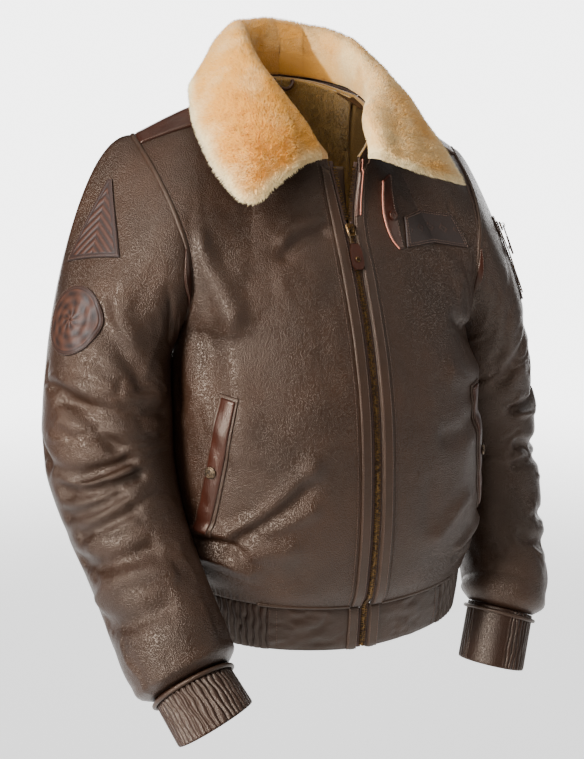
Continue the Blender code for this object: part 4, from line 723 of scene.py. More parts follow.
class Wire:
    """One output of a finish's nodes."""

    def __init__(self, tree, socket):
        self.tree = tree
        self.socket = socket

    def math(self, operation, first, second, clamp=False):
        node = self.tree.nodes.new("ShaderNodeMath")
        node.operation = operation
        node.use_clamp = clamp
        plug(self.tree, node.inputs[0], first)
        plug(self.tree, node.inputs[1], second)
        return Wire(self.tree, node.outputs[0])

    def __add__(self, other):
        return self.math("ADD", self, other)

    def __radd__(self, other):
        return self.math("ADD", other, self)

    def __sub__(self, other):
        return self.math("SUBTRACT", self, other)

    def __rsub__(self, other):
        return self.math("SUBTRACT", other, self)

    def __mul__(self, other):
        return self.math("MULTIPLY", self, other)

    def __rmul__(self, other):
        return self.math("MULTIPLY", other, self)

    def __pow__(self, other):
        return self.math("POWER", self, other)

    def clamp(self):
        return self.math("ADD", self, 0.0, clamp=True)


class Paint:
    """A finish under construction."""

    def __init__(self, name):
        self.made = bpy.data.materials.new(name)
        self.made.use_nodes = True
        self.tree = self.made.node_tree
        self.shader = self.tree.nodes["Principled BSDF"]
        self.place = self.node("ShaderNodeTexCoord", {}, {}, 3)

    def node(self, kind, settings, values, out=0):
        node = self.tree.nodes.new(kind)
        for key, value in settings.items():
            setattr(node, key, value)
        for key, value in values.items():
            plug(self.tree, node.inputs[key], value)
        return Wire(self.tree, node.outputs[out])

    def noise(self, scale, detail=3.0):
        values = {"Vector": self.place, "Scale": scale, "Detail": detail}
        return self.node("ShaderNodeTexNoise", {}, values)

    def cells(self, scale, feature="F1"):
        values = {"Vector": self.place, "Scale": scale}
        return self.node("ShaderNodeTexVoronoi", {"feature": feature}, values)

    def value(self, name):
        return self.node("ShaderNodeAttribute", {"attribute_name": name}, {}, 2)

    def ramp(self, wire, low, high):
        values = {"Value": wire, "From Min": low, "From Max": high}
        return self.node("ShaderNodeMapRange", {"interpolation_type": "SMOOTHSTEP"}, values)

    def mix(self, share, first, second):
        values = {0: share, 6: first, 7: second}
        return self.node("ShaderNodeMix", {"data_type": "RGBA"}, values, 2)

    def bump(self, height, distance, strength=1.0, under=None):
        values = {"Strength": strength, "Distance": distance, "Height": height}
        if under is not None:
            values["Normal"] = under
        return self.node("ShaderNodeBump", {}, values)

    def finish(self, **sockets):
        for key, value in sockets.items():
            plug(self.tree, self.shader.inputs[key.replace("_", " ")], value)
        return self.made


print("a finish is ready when finish() returns its material")

# %% [markdown]
# ## Leather, pile, brass and thread
# The faux leather is dark brown with a pebble grain that sparkles where a light glances off it,
# so the grain is real bump and not colour. The trims are a redder, glossier brown.
# The pile is gold at its roots and cream at its tips and edges.

# %% Finishes
def rgb(red, green, blue):
    """A colour as seen on screen, from 0 to 255, turned into the linear light that nodes use."""
    seen = [v / 255 for v in (red, green, blue)]
    return (*[v / 12.92 if v <= 0.04045 else ((v + 0.055) / 1.055) ** 2.4 for v in seen], 1.0)


def make_leather(name, light, dark, gloss, grain=0.55, fine=560.0):
    paint = Paint(name)
    mottle = paint.ramp(paint.noise(9.0, 5.0), 0.25, 0.80)
    patches = paint.ramp(paint.noise(38.0, 4.0), 0.35, 0.75)
    colour = paint.mix(mottle * 0.7 + patches * 0.3, dark, light)
    pebble = paint.cells(fine)
    pores = paint.noise(fine * 1.9, 3.0)
    height = paint.ramp(pebble, 0.05, 0.75) * 0.75 + pores * 0.35
    soft = paint.bump(paint.noise(70.0, 4.0), 0.0022, 0.35)
    normal = paint.bump(height, 0.0006, grain, soft)
    rough = gloss + 0.10 * paint.noise(24.0, 4.0) + 0.10 * pores
    paint.shader.inputs["Specular IOR Level"].default_value = 0.45
    paint.shader.inputs["Specular Tint"].default_value = rgb(255, 234, 214)
    return paint.finish(Base_Color=colour, Roughness=rough, Normal=normal)


def make_pile(name, gold, cream, brown, root, scale=420.0):
    """The collar's pile. Its attributes say how cream, how brown and how near the tip a point is; the brown
    attribute also carries painted shade, inside the collar's left roll and deep inside the neck.
    """
    paint = Paint(name)
    cloud = paint.ramp(paint.noise(26.0, 4.0), 0.30, 0.72)
    streak = paint.ramp(paint.noise(scale, 3.0), 0.25, 0.75)
    shade = paint.value("cream") * 1.15 + cloud * 0.50 - 0.26 + paint.value("tint") * 0.35 - 0.17
    colour = paint.mix(shade.clamp(), gold, cream)
    # the brown colour is partly the pile's own tan and partly painted shade, wherever the brown attribute is
    # raised for shade
    colour = paint.mix(paint.value("brown"), colour, brown)
    depth = (paint.value("tip") * 0.72 + streak * 0.28).clamp()
    colour = paint.mix(1.0 - depth, colour, paint.mix(0.45, colour, root))
    normal = paint.bump(streak, 0.0012, 0.4)
    paint.shader.inputs["Sheen Weight"].default_value = 0.25
    paint.shader.inputs["Sheen Roughness"].default_value = 0.5
    paint.shader.inputs["Specular IOR Level"].default_value = 0.15
    return paint.finish(Base_Color=colour, Roughness=0.92 - streak * 0.05, Normal=normal)


def make_brass(name, light, dark):
    paint = Paint(name)
    worn = paint.ramp(paint.noise(320.0, 4.0), 0.35, 0.68)
    normal = paint.bump(paint.noise(900.0, 3.0), 0.00025, 0.5)
    return paint.finish(Base_Color=paint.mix(worn, dark, light), Metallic=0.85 + worn * 0.15,
                        Roughness=0.42 - worn * 0.14, Normal=normal)


def make_cloth(name, light, dark, scale=900.0, rough=0.85):
    paint = Paint(name)
    weave = paint.cells(scale, "SMOOTH_F1")
    normal = paint.bump(weave, 0.0003, 0.8)
    colour = paint.mix(paint.ramp(weave, 0.2, 0.7), light, dark)
    return paint.finish(Base_Color=colour, Roughness=rough - weave * 0.1, Normal=normal)


LEATHER = make_leather("leather", rgb(48, 29, 18), rgb(32, 19, 12), 0.24, 0.95, 700.0)
LEATHER_BAND = make_leather("leather_band", rgb(40, 20, 11), rgb(24, 12, 7), 0.27, 0.45, 800.0)
BROWN = make_leather("brown_leather", rgb(60, 26, 15), rgb(32, 14, 9), 0.20, 0.25, 900.0)
TRIM_LEATHER = make_leather("trim_leather", rgb(50, 32, 22), rgb(34, 22, 15), 0.30, 0.45, 800.0)
PILE = make_pile("pile", rgb(224, 160, 58), rgb(250, 230, 176), rgb(150, 104, 40), rgb(186, 126, 48))
LINING = make_pile("lining", rgb(158, 120, 58), rgb(190, 152, 84), rgb(84, 60, 28), rgb(84, 58, 26), 520.0)
BRASS = make_brass("brass", rgb(122, 92, 54), rgb(44, 31, 20))
DARK_METAL = make_brass("dark_metal", rgb(110, 92, 72), rgb(52, 42, 34))
TAPE = make_cloth("zip_tape", rgb(70, 44, 30), rgb(42, 26, 18))
THREAD = make_cloth("thread", rgb(86, 60, 44), rgb(56, 38, 28), 1500.0, 0.6)
RAW_EDGE = make_cloth("raw_edge", rgb(216, 138, 112), rgb(176, 100, 78), 1100.0)
SEAM_DARK = make_cloth("dark_seam", rgb(74, 48, 26), rgb(48, 30, 18), 1200.0)
print(len(bpy.data.materials), "materials")

# %% [markdown]
# ## Meshes from grids
# A soft piece is a wall between two grids of points. `solid` closes the rim and turns all faces
# outwards. `BASES` remembers each outside, so that a patch can be laid on it later.

# %% Mesh helpers
BASES = {}


def grid_faces(rows, columns, wrap=False):
    r = np.arange(rows - 1)[:, None] * columns
    c = np.arange(columns if wrap else columns - 1)[None]
    d = (c + 1) % columns
    return np.stack([r + c, r + d, r + columns + d, r + columns + c], axis=-1).reshape(-1, 4)


def volume(points, faces):
    a, b, c, d = (points[faces[:, i]] for i in range(4))
    return (a * np.cross(b, c)).sum() + (a * np.cross(c, d)).sum()


def make_mesh(name, points, faces, finishes, kinds=None, values=None, smooth=True):
    """An object from points and faces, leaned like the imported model."""
    mesh = bpy.data.meshes.new(name)
    mesh.from_pydata(lean(points).tolist(), [], faces.tolist())
    for finish in finishes:
        mesh.materials.append(finish)
    if kinds is not None:
        mesh.polygons.foreach_set("material_index", np.asarray(kinds, np.int32))
    for key, value in (values or {}).items():
        field = mesh.attributes.new(key, "FLOAT", "POINT")
        field.data.foreach_set("value", np.asarray(value, np.float32).ravel())
    if smooth:
        mesh.shade_smooth()
    mesh.update()
    piece = bpy.data.objects.new(name, mesh)
    bpy.context.scene.collection.objects.link(piece)
    return piece


def solid(name, outer, inner, finishes, wrap=False, values=None, sign=1):
    """A closed wall; the first finish is outside and on most rims, the second inside."""
    outer = on_side(outer, sign)
    inner = on_side(inner, sign)
    rows, columns = outer.shape[:2]
    half = rows * columns
    face = grid_faces(rows, columns, wrap)
    c = np.arange(columns if wrap else columns - 1)
    d = (c + 1) % columns
    last = (rows - 1) * columns
    rims = [np.stack([half + c, half + d, d, c], 1),
            np.stack([last + c, last + d, half + last + d, half + last + c], 1)]
    if not wrap:
        a = np.arange(rows - 1) * columns
        b = a + columns
        rims.append(np.stack([a, b, half + b, half + a], 1))
        a = a + columns - 1
        b = b + columns - 1
        rims.append(np.stack([b, a, half + a, half + b], 1))
    rim = np.concatenate(rims)
    faces = np.concatenate([face, half + face[:, ::-1], rim])
    points = np.concatenate([outer.reshape(-1, 3), inner.reshape(-1, 3)])
    BASES[name] = BVHTree.FromPolygons(outer.reshape(-1, 3).tolist(), face.tolist())
    if volume(points, faces) < 0:
        faces = faces[:, ::-1]
    second = min(1, len(finishes) - 1)
    kinds = np.concatenate([np.zeros(len(face)), np.full(len(face), second), np.zeros(len(rim))])
    if name.startswith("leather_front") or name == "leather_back":
        kinds[2 * len(face) + len(c):2 * len(face) + 2 * len(c)] = second
    if values:
        values = {key: np.concatenate([v.ravel(), v.ravel()]) for key, v in values.items()}
    return make_mesh(name, points, faces, finishes, kinds, values)


def height_over(names, point, normal, reach=0.03):
    """How far out along a normal the highest of some pieces lies, from the point."""
    best = None
    for name in names:
        hit = BASES[name].ray_cast(Vector(point + normal * reach), Vector(-normal), 2 * reach)
        if hit[0] is not None and (best is None or reach - hit[3] > best):
            best = reach - hit[3]
    return best


def rest(grid, normals, names):
    """Points moved along their normals onto pieces that are already made."""
    flat = grid.reshape(-1, 3).copy()
    ways = normals.reshape(-1, 3)
    for i, (point, way) in enumerate(zip(flat, ways)):
        rise = height_over(names, point, way)
        if rise is not None:
            flat[i] = point + way * rise
    return flat.reshape(grid.shape)


def runs(grid):
    """Mean lengths down the rows and along the columns of a grid."""
    down = np.concatenate([[0], np.cumsum(np.linalg.norm(np.diff(grid, axis=0), axis=2).mean(axis=1))])
    along = np.concatenate([[0], np.cumsum(np.linalg.norm(np.diff(grid, axis=1), axis=2).mean(axis=0))])
    return down, along


def rim_of(grid):
    """Metres from the rim, up from the middle and aside from it, at each point of a grid."""
    down, along = runs(grid)
    v = np.minimum(down, down[-1] - down)[:, None]
    h = np.minimum(along, along[-1] - along)[None, :]
    return np.minimum(v, h), down[:, None] - down[-1] / 2 + 0 * h, along[None, :] - along[-1] / 2 + 0 * v


def rolled(rim, edge):
    """0.15 to 1, how high a rolled rim is at some distances from it."""
    near = (rim / edge).clip(0, 1)
    return 0.15 + 0.85 * np.sqrt(1 - (1 - near) ** 2)


def rounded(grid, edge):
    """How high a rolled rim is at each point of a grid."""
    return rolled(rim_of(grid)[0], edge)


def spread(count):
    """Places from 0 to 1 with more of them near both ends."""
    return np.concatenate([[0, 0.01, 0.025, 0.05], np.linspace(0.09, 0.91, count), [0.95, 0.975, 0.99, 1]])


def flat_cut(grid, wrap=False):
    """The width, length and area of a panel's cut, measured on its smooth form."""
    closed = np.concatenate([grid, grid[:, :1]], axis=1) if wrap else grid
    along = np.linalg.norm(np.diff(closed, axis=1), axis=2).sum(axis=1).max()
    down = np.linalg.norm(np.diff(closed, axis=0), axis=2).sum(axis=0).max()
    a, b, c, d = closed[:-1, :-1], closed[:-1, 1:], closed[1:, 1:], closed[1:, :-1]
    area = np.linalg.norm(np.cross(c - a, d - b), axis=2).sum() / 2
    along = max(along, 0.011)
    down = max(down, 0.011)
    return float(along), float(down), float(min(max(area, 0.31 * along * down), along * down))


SIZES = {}


def settle(piece, nodes, slot=None, cut=None, body="jacket"):
    """Puts a piece on its body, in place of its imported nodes, and records the size of its cut."""
    slot = slot or nodes[0]
    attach(piece, body)
    if nodes:
        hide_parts(*nodes)
    if cut is not None:
        along, down, area = flat_cut(*cut) if isinstance(cut, tuple) else flat_cut(cut)
        SIZES[piece.name] = (along, down, area)
    return piece


print("helpers ready")

# %% [markdown]
# ## Fronts and back
# Two fronts and one back, each cut as one panel. The outside gets the folds; the inside is pile.
# The photo's right front has a long soft ridge from the armhole and two folds from the pocket.

# %% Body panels
ROWS = 170
COLUMNS = 110
rises = np.linspace(0, 1, ROWS + 1)
across = np.linspace(0, 1, COLUMNS + 1)


def pull_in(grid, gap, wrap=False):
    """How far each edge point moves so that neighbours stay a seam's gap apart."""
    shift = np.zeros_like(grid)
    shift[0] += unit(grid[1] - grid[0]) * gap
    shift[-1] += unit(grid[-2] - grid[-1]) * gap
    if not wrap:
        shift[:, 0] += unit(grid[:, 1] - grid[:, 0]) * gap
        shift[:, -1] += unit(grid[:, -2] - grid[:, -1]) * gap
    return shift


for side, sign in SIDES.items():
    grid, normals = fine_front(rises, across, sign)
    smooth = front_surface(rises, across, False)[1]
    outer = grid + pull_in(grid, SEAM_GAP)
    inner = outer - smooth * WALL
    piece = solid("leather_front_" + side, outer, inner, [LEATHER, LINING], sign=sign)
    cut = front_surface(rises[::5], across[::5], False)[0]
    settle(piece, ["front_" + side], cut=cut)
left = fine_back(rises, across, 1)[0]
right = fine_back(rises, across, -1)[0]
smooth = back_surface(rises, across, False)[1]
shifted = pull_in(left, SEAM_GAP)
shifted[:, 0] = 0
outer = np.concatenate([mirrored((right + shifted)[:, :0:-1]), left + shifted], axis=1)
wall = np.concatenate([mirrored(smooth[:, :0:-1]), smooth], axis=1) * WALL
piece = solid("leather_back", outer, outer - wall, [LEATHER, LINING])
cut = back_surface(rises[::5], across[::5], False)[0]
cut = np.concatenate([mirrored(cut[:, :0:-1]), cut], axis=1)
settle(piece, ["back"], cut=cut)
print("body panels:", [round(v, 3) for v in SIZES["leather_back"]])

# %% [markdown]
# ## Sleeves
# One tube each, closed all round and open at both ends. Its creases run across the inside of the
# elbow and down from the armhole.

# %% Sleeves
TURNS = 150
HEAD_ROWS = 50
ARM_ROWS = 150
turns = np.arange(TURNS) / TURNS
for side, sign in SIDES.items():
    grid, normals = fine_sleeve(side, HEAD_ROWS, ARM_ROWS, turns)
    sections, folds, full = SLEEVES[side]
    plain, smooth = sleeve_surface(sections, folds, full, HEAD_ROWS, ARM_ROWS, turns, False)
    outer = grid + pull_in(grid, 2 * SEAM_GAP, wrap=True)
    inner = outer - smooth * WALL
    piece = solid("leather_sleeve_" + side, outer, inner, [LEATHER, LINING], wrap=True, sign=sign)
    on = ["leather_front_" + side, "leather_back"]
    settle(piece, ["sleeve_" + side], cut=(plain[::5], True))
print("sleeves:", [round(v, 3) for v in SIZES["leather_sleeve_right"]])

# %% [markdown]
# ## Collar
# A thick sheet of pile with leather under it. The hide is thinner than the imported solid, because
# the pile on it gives the rest of the height. Its rim is rolled, so hairs there fan outwards.

# %% Collar hide
STATIONS = 96
STEPS = 70
TIP_LONGER = {"right": 0.012, "left": 0.002}
LEAF_AT = (0.0, 0.33, 0.56, 0.78, 1.0)
LEAF_LOWER = {"right": (0.0, 0.009, 0.017, 0.021, 0.016), "left": (0.0, 0.012, 0.018, 0.017, 0.007)}
COLLAR_SIDES = {"right": (-1, TIP_LIFT_RIGHT, SPREAD_RIGHT), "left": (1, TIP_LIFT_LEFT, SPREAD_LEFT)}


def collar_middle(side, stations, steps):
    """The collar's middle sheet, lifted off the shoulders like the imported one."""
    _, lift, spread_by = COLLAR_SIDES[side]
    coarse_stations = np.linspace(0, 1, 14)
    coarse_steps = np.linspace(0, 1, 10)
    coarse, _ = collar_surface(coarse_stations, coarse_steps, lift, spread_by)
    move = fall_lift(coarse, coarse_steps)
    even_stations = np.linspace(0, 1, 121)
    even_steps = np.linspace(0, 1, 101)
    middle, _ = collar_surface(even_stations, even_steps, lift, spread_by)
    middle = middle + between(move, even_stations[:, None] * 13, even_steps[None, :] * 9)
    along = unit(np.gradient(middle, axis=1))
    longer = TIP_LONGER[side] * (even_stations ** 8)[:, None] * (even_steps ** 2)[None, :]
    down = unit(np.gradient(middle, axis=0))
    lower = (even_stations ** 6)[:, None] * np.interp(even_steps, LEAF_AT, LEAF_LOWER[side])[None, :]
    middle = middle + along * longer[..., None] + down * lower[..., None]
    # the corner of the leaf is rounded by turning a square of places into part of a disc
    a = ((stations - 0.88) / 0.12).clip(0, 1)[:, None]
    b = ((steps - 0.84) / 0.16).clip(0, 1)[None, :]
    s = np.where(a > 0, 0.88 + 0.12 * a * np.sqrt(1 - 0.5 * b ** 2), stations[:, None] + 0 * b)
    q = np.where(b > 0, 0.84 + 0.16 * b * np.sqrt(1 - 0.5 * a ** 2), steps[None, :] + 0 * a)
    return between(middle, s * 120, q * 100)


def from_ends(grid):
    """Distances of each point from the collar's front edge and from its outer edge."""
    down = np.linalg.norm(np.diff(grid, axis=0), axis=2)
    along = np.linalg.norm(np.diff(grid, axis=1), axis=2)
    to_front = np.concatenate([np.cumsum(down[::-1], axis=0)[::-1], np.zeros((1, grid.shape[1]))])
    to_edge = np.concatenate([np.cumsum(along[:, ::-1], axis=1)[:, ::-1], np.zeros((len(grid), 1))], axis=1)
    return to_front, to_edge


def pile_tones_and_shade(side, stations, steps, edge):
    """How cream and how brown the pile is over one half of the collar. On the left half, brown is also
    painted shade inside the collar's roll, where the overhanging roll shades the stand and the back panel.
    """
    s = stations[:, None]
    q = steps[None, :]
    cream = np.exp(-(edge / 0.0125) ** 2) + 0 * s * q
    inside = np.clip((0.46 - q) / 0.06, 0, 1)
    stand = np.clip((0.125 - q) / 0.012, 0, 1)
    if side == "right":
        cream = cream * 0.95 + 0.05
        brown = np.maximum(stand * 0.85, inside * 0.38)
    else:
        leaf = np.clip((s - 0.45) / 0.3, 0, 1)
        cream = np.maximum(cream, 0.16 + 0.14 * leaf)
        panel = np.clip((0.14 - s) / 0.01, 0, 1)
        # painted shade: below the edge of the left half's roll the pile loses its cream and turns browner,
        # for the shade the overhanging roll casts there
        roll_at = (0, 0.12, 0.17, 0.20, 0.30, 0.36)
        edge_of_roll = np.interp(s, roll_at, (0.44, 0.40, 0.25, 0.17, 0.06, 0.0))
        in_roll_shadow = np.clip((edge_of_roll - q) / 0.03, 0, 1)
        cream = np.maximum(cream, inside * 0.45) * (1 - in_roll_shadow)
        seam_dark = np.exp(-((s - 0.135) / 0.007) ** 2) * in_roll_shadow
        painted_roll_shade = in_roll_shadow * (0.42 + 0.35 * (1 - panel))
        brown = np.maximum(np.maximum(stand * 0.85 * in_roll_shadow, painted_roll_shade), seam_dark)
    return cream + 0 * brown, brown + 0 * cream


collar_parts = {}
hides = {"top": [], "under": [], "cream": [], "brown": []}
stations = np.linspace(0, 1, STATIONS)
steps = np.linspace(0, 0.975, STEPS)
for side in ("right", "left"):
    middle = collar_middle(side, stations, steps)
    normals = -grid_normals(middle)
    to_front, to_edge = from_ends(middle)
    edge = np.minimum(to_front, to_edge)
    roll = np.sqrt(1 - (1 - (edge / 0.011).clip(0, 1)) ** 2)
    s = stations[:, None] * 9 + (0 if side == "left" else 4)
    swell = 0.0011 * np.sin(s * 2.1 + steps[None] * 5) * np.sin(steps[None] * 13 + s) * roll
    if side == "left":
        puff_round = np.exp(-((stations - 0.90) / 0.12) ** 2)[:, None]
        puff = puff_round * np.exp(-((steps - 0.14) / 0.17) ** 2)[None, :]
        middle = middle + normals * (0.0100 * puff)[..., None]
        swell = swell + 0.0100 * puff * roll
    top = middle + normals * (0.0040 * roll + 0.0002 + swell)[..., None]
    under = middle - normals * (0.0050 * roll + 0.0002)[..., None]
    cream, brown = pile_tones_and_shade(side, stations, steps, edge)
    collar_parts[side] = (top, cream, brown, edge)
    for key, value in zip(hides, (top, under, cream, brown)):
        if side == "right":
            value = value[:0:-1]
            value = mirrored(value) if value.ndim == 3 else value
        hides[key].append(value)
top, under, cream, brown = (np.concatenate(pair) for pair in hides.values())
even = np.ones(cream.shape)
values = {"cream": cream, "brown": brown, "tip": even * 0.35, "tint": even * 0.4}
piece = solid("collar_hide", top, under, [PILE, LEATHER], values=values)
on = ["leather_back", "leather_front_left", "leather_front_right"]
settle(piece, ["collar"], cut=(top + under)[::3, ::3] / 2)
print("collar sheet:", [round(v, 3) for v in SIZES["collar_hide"]])

# %% [markdown]
# ## Pile
# Each hair is a thin spike of three triangles, and neighbouring hairs lean together in locks.
# They lean to the collar's edge, as the photo shows, and shorten on the stand inside the neck.

# %% Pile helpers
def smooth_noise(points, scale, seed):
    """Gentle waves in space from -1 to 1, for locks of pile."""
    pick = np.random.default_rng(seed)
    total = np.zeros(len(points))
    for _ in range(7):
        way = unit(pick.normal(size=3)) * scale * pick.uniform(0.6, 1.7)
        total += np.sin(points @ way + pick.uniform(0, 6.3))
    return total / 3.2


def spikes(name, roots, ways, lengths, width, values, finish):
    """Many thin hairs in one mesh, with attributes that run from root to tip."""
    helper = unit(np.cross(ways, rng.normal(size=ways.shape)))
    other = np.cross(ways, helper)
    points = np.empty((len(roots), 4, 3))
    for k in range(3):
        turn = 2 * math.pi * k / 3
        points[:, k] = roots + (helper * math.cos(turn) + other * math.sin(turn)) * (width / 2)
    points[:, 3] = roots + ways * lengths[:, None]
    start = np.arange(len(roots))[:, None] * 4
    faces = np.concatenate([start + [0, 1, 3], start + [1, 2, 3], start + [2, 0, 3]])
    fields = {key: np.repeat(v, 4) for key, v in values.items()}
    fields["tip"] = np.tile([0.0, 0.0, 0.0, 1.0], len(roots))
    return make_mesh(name, points.reshape(-1, 3), faces, [finish], values=fields)


def strew(grid, count, fields, weight=None):
    """Random roots on a grid by area, with normals, the ways down and along, and fields there."""
    a, b, c, d = grid[:-1, :-1], grid[:-1, 1:], grid[1:, 1:], grid[1:, :-1]
    area = np.linalg.norm(np.cross(c - a, d - b), axis=2)
    if weight is not None:
        area = area * weight[:-1, :-1]
    cell = rng.choice(area.size, count, p=area.ravel() / area.sum())
    r, k = np.divmod(cell, area.shape[1])
    row = r + rng.uniform(size=count)
    column = k + rng.uniform(size=count)
    down = unit(np.gradient(grid, axis=0))
    along = unit(np.gradient(grid, axis=1))
    found = [between(f, row, column) for f in (grid, -grid_normals(grid), down, along, *fields)]
    return *found[:4], found[4:]


print("hairs are three triangles each")

# %% [markdown]
# ## Pile on the collar
# Roots are strewn by area, so no part of the sheet is denser than another. Hairs near the rim lean
# out over it, those on the stand are short, and each takes its tone from the sheet under it.

# %% Pile on the collar
HAIR_LENGTH = 0.0066
HAIR_WIDE = 0.00120
HAIRS = 46000
for side in ("right", "left"):
    top, cream, brown, edge = collar_parts[side]
    inside = np.clip((0.44 - steps) / 0.10, 0, 1)[None, :] + 0 * stations[:, None]
    stand = np.clip((0.13 - steps) / 0.01, 0, 1)[None, :] + 0 * stations[:, None]
    to_front, to_edge = from_ends(top)
    fields = [cream, brown, edge, inside, stand, to_front, to_edge]
    roots, normals, down, along, found = strew(top, HAIRS, fields)
    cream, brown, edge, inside, stand, to_front, to_edge = found
    lock = smooth_noise(roots, 420, 5)
    lock_two = smooth_noise(roots, 420, 6)
    outward = along * np.exp(-to_edge / 0.03)[:, None] + along * 0.35
    outward = outward + down * (1.2 * np.exp(-to_front / 0.02))[:, None]
    locks = down * (lock * 0.15)[:, None] + along * (lock_two * 0.15)[:, None]
    way = normals * 0.85 + outward * 0.75 + locks
    way = unit(way + rng.normal(0, 0.10, way.shape))
    length = HAIR_LENGTH * rng.uniform(0.72, 1.15, HAIRS) * (1 - 0.52 * inside) * (1 - 0.55 * stand)
    length = length * (0.75 + 0.25 * np.clip(edge / 0.006, 0, 1))
    sign = SIDES[side]
    fields = {"cream": cream, "brown": brown, "tint": rng.uniform(0, 1, HAIRS)}
    roots = on_side(roots - normals * 0.0004, sign)
    piece = spikes("pile_collar_" + side, roots, on_side(way, sign), length, HAIR_WIDE, fields, PILE)
    settle(piece, [], "collar")
print(2 * HAIRS, "hairs on the collar")

# %% [markdown]
# ## Inside the neck
# The lining's short pile shows behind the open front, with the collar's seam tape above it and
# a hanger loop at the nape.

# %% Neck
rises = np.linspace(0.62, 1, 60)
across = np.linspace(0, 0.5, 46)
grid, normals = back_surface(rises, across, False)
grid[-1] += 0.15 * (grid[-2] - grid[-1])
outer = grid - normals * (WALL + 0.0018)
inner = outer - normals * 0.003
outer = np.concatenate([mirrored(outer[:, :0:-1]), outer], axis=1)
inner = np.concatenate([mirrored(inner[:, :0:-1]), inner], axis=1)
shade = np.full(outer.shape[:2], 0.25)
values = {"cream": shade, "brown": shade, "tip": shade * 2, "tint": shade * 2}
piece = solid("neck_pile_backing", outer, inner, [LINING], values=values)
settle(piece, ["neck_lining"], cut=outer)
NECK_HAIRS = 14000
roots, normals, down, along, _ = strew(inner, NECK_HAIRS, [])
facing = unit(np.array([0.0, -0.10, -0.25]) - roots)
normals = normals * np.sign((normals * facing).sum(axis=1, keepdims=True))
way = unit(normals - down * 0.55 + rng.normal(0, 0.25, roots.shape))
count = len(roots)
# painted shade: the neck's hairs turn browner and less cream the deeper they sit inside the neck; low runs
# from 0 deep down to 1 near the top
low = ((roots[:, 2] + 0.13) / 0.12).clip(0, 1)
fields = {"cream": 0.2 + 0.5 * low, "brown": 0.5 - 0.4 * low, "tint": rng.uniform(0, 1, count)}
piece = spikes("pile_neck", roots, way, 0.0034 * rng.uniform(0.7, 1.2, count), 0.0012, fields, LINING)
settle(piece, [], "neck_lining")


def tube(name, path, radius, finish, closed=False, sides=12, flat=1.0, outs=None):
    """A round or flattened bar along points; `outs` is the way that flat squeezes."""
    path = np.array(path, float)
    ahead = np.roll(path, -1, axis=0) - np.roll(path, 1, axis=0)
    if not closed:
        ahead[0] = path[1] - path[0]
        ahead[-1] = path[-1] - path[-2]
    ahead = unit(ahead)
    guide = outs[0] if outs is not None else unit(np.cross(ahead[0], (0.31, 0.55, 0.77)))
    count = len(path)
    points = np.empty((count, sides, 3))
    turn = 2 * math.pi * np.arange(sides)[:, None] / sides
    for i, (place, way) in enumerate(zip(path, ahead)):
        guide = outs[i] if outs is not None else guide
        guide = unit(guide - way * (guide @ way))
        end = 0.35 if not closed and i in (0, count - 1) else 1.0
        points[i] = place + radius * end * (guide * np.cos(turn) * flat + np.cross(way, guide) * np.sin(turn))
    faces = grid_faces(count + 1 if closed else count, sides, True) % (count * sides)
    flat_points = points.reshape(-1, 3)
    faces = [list(f) for f in faces]
    if not closed:
        faces += [list(range(sides))[::-1], list(range((count - 1) * sides, count * sides))]
    centre = flat_points - path.repeat(sides, axis=0)
    a, b, c = (flat_points[[f[k] for f in faces[:sides]]] for k in range(3))
    if (np.cross(b - a, c - a) * centre[:sides]).sum() < 0:
        faces = [f[::-1] for f in faces]
    return make_mesh(name, flat_points, np.array(faces, dtype=object), [finish])


seam = np.concatenate([mirrored(follow(COLLAR, np.linspace(1, 0, 60), "nx ny nz")[:-1]),
                       follow(COLLAR, np.linspace(0, 1, 60), "nx ny nz")])
settle(tube("neck_tape", seam - [0, 0.0005, 0.004], 0.0009, SEAM_DARK), [], "collar")
turn = np.linspace(math.pi, 2 * math.pi, 40)
across_loop, behind = 0.013 * np.cos(turn), 0.0555 - 0.005 * np.abs(np.sin(turn))
path = np.stack([across_loop, behind, -0.0055 + 0.013 * np.sin(turn)], axis=1)
settle(tube("hanger", path, 0.0026, BROWN), ["hanger_loop"])
print("neck lined with", count, "hairs")

# %% [markdown]
# ## Stitches
# A stitch is a small capsule. A line of them lies a thread's height over the leather it holds.

# %% Stitches
def along_line(points, pitch):
    """Middles, ways and shares of a line at even steps."""
    run = run_of(points)
    places = np.arange(pitch / 2, run[-1], pitch)
    middle = at_runs(places, run, points)
    ahead = at_runs(places + pitch / 4, run, points)
    return middle, unit(ahead - middle + 1e-9), places, run


def stitches(name, lines, pitch=0.0034, long=0.0024, radius=0.00042):
    """All the stitches of some seams in one piece. A line is points and the ways out there."""
    centres = []
    ways = []
    outs = []
    for points, normals in lines:
        middle, way, places, run = along_line(points, pitch)
        out = unit(at_runs(places, run, normals))
        centres.append(middle + out * radius * 0.5)
        ways.append(way)
        outs.append(out)
    centres, ways, outs = (np.concatenate(v) for v in (centres, ways, outs))
    side = unit(np.cross(ways, outs))
    outs = np.cross(side, ways)
    count = len(centres)
    points = np.empty((count, 14, 3))
    points[:, 0] = centres - ways * long / 2
    points[:, 13] = centres + ways * long / 2
    for k in range(6):
        turn = 2 * math.pi * k / 6
        ring = (side * math.cos(turn) + np.cross(ways, side) * math.sin(turn)) * radius
        points[:, 1 + k] = centres - ways * long * 0.3 + ring
        points[:, 7 + k] = centres + ways * long * 0.3 + ring
    one = []
    for k in range(6):
        n = (k + 1) % 6
        one += [(1 + n, 1 + k, 0), (7 + k, 7 + n, 13), (1 + k, 1 + n, 7 + n), (1 + k, 7 + n, 7 + k)]
    faces = (np.arange(count)[:, None, None] * 14 + np.array(one)[None]).reshape(-1, 3)
    return make_mesh(name, points.reshape(-1, 3), faces, [THREAD])


def sample(grid, v, h):
    """Points of a grid at shares of its mean length down and along."""
    down, along = runs(grid)
    r = np.interp(v, down / down[-1], np.arange(len(down)))
    c = np.interp(h, along / along[-1], np.arange(len(along)))
    return between(grid, r, c)


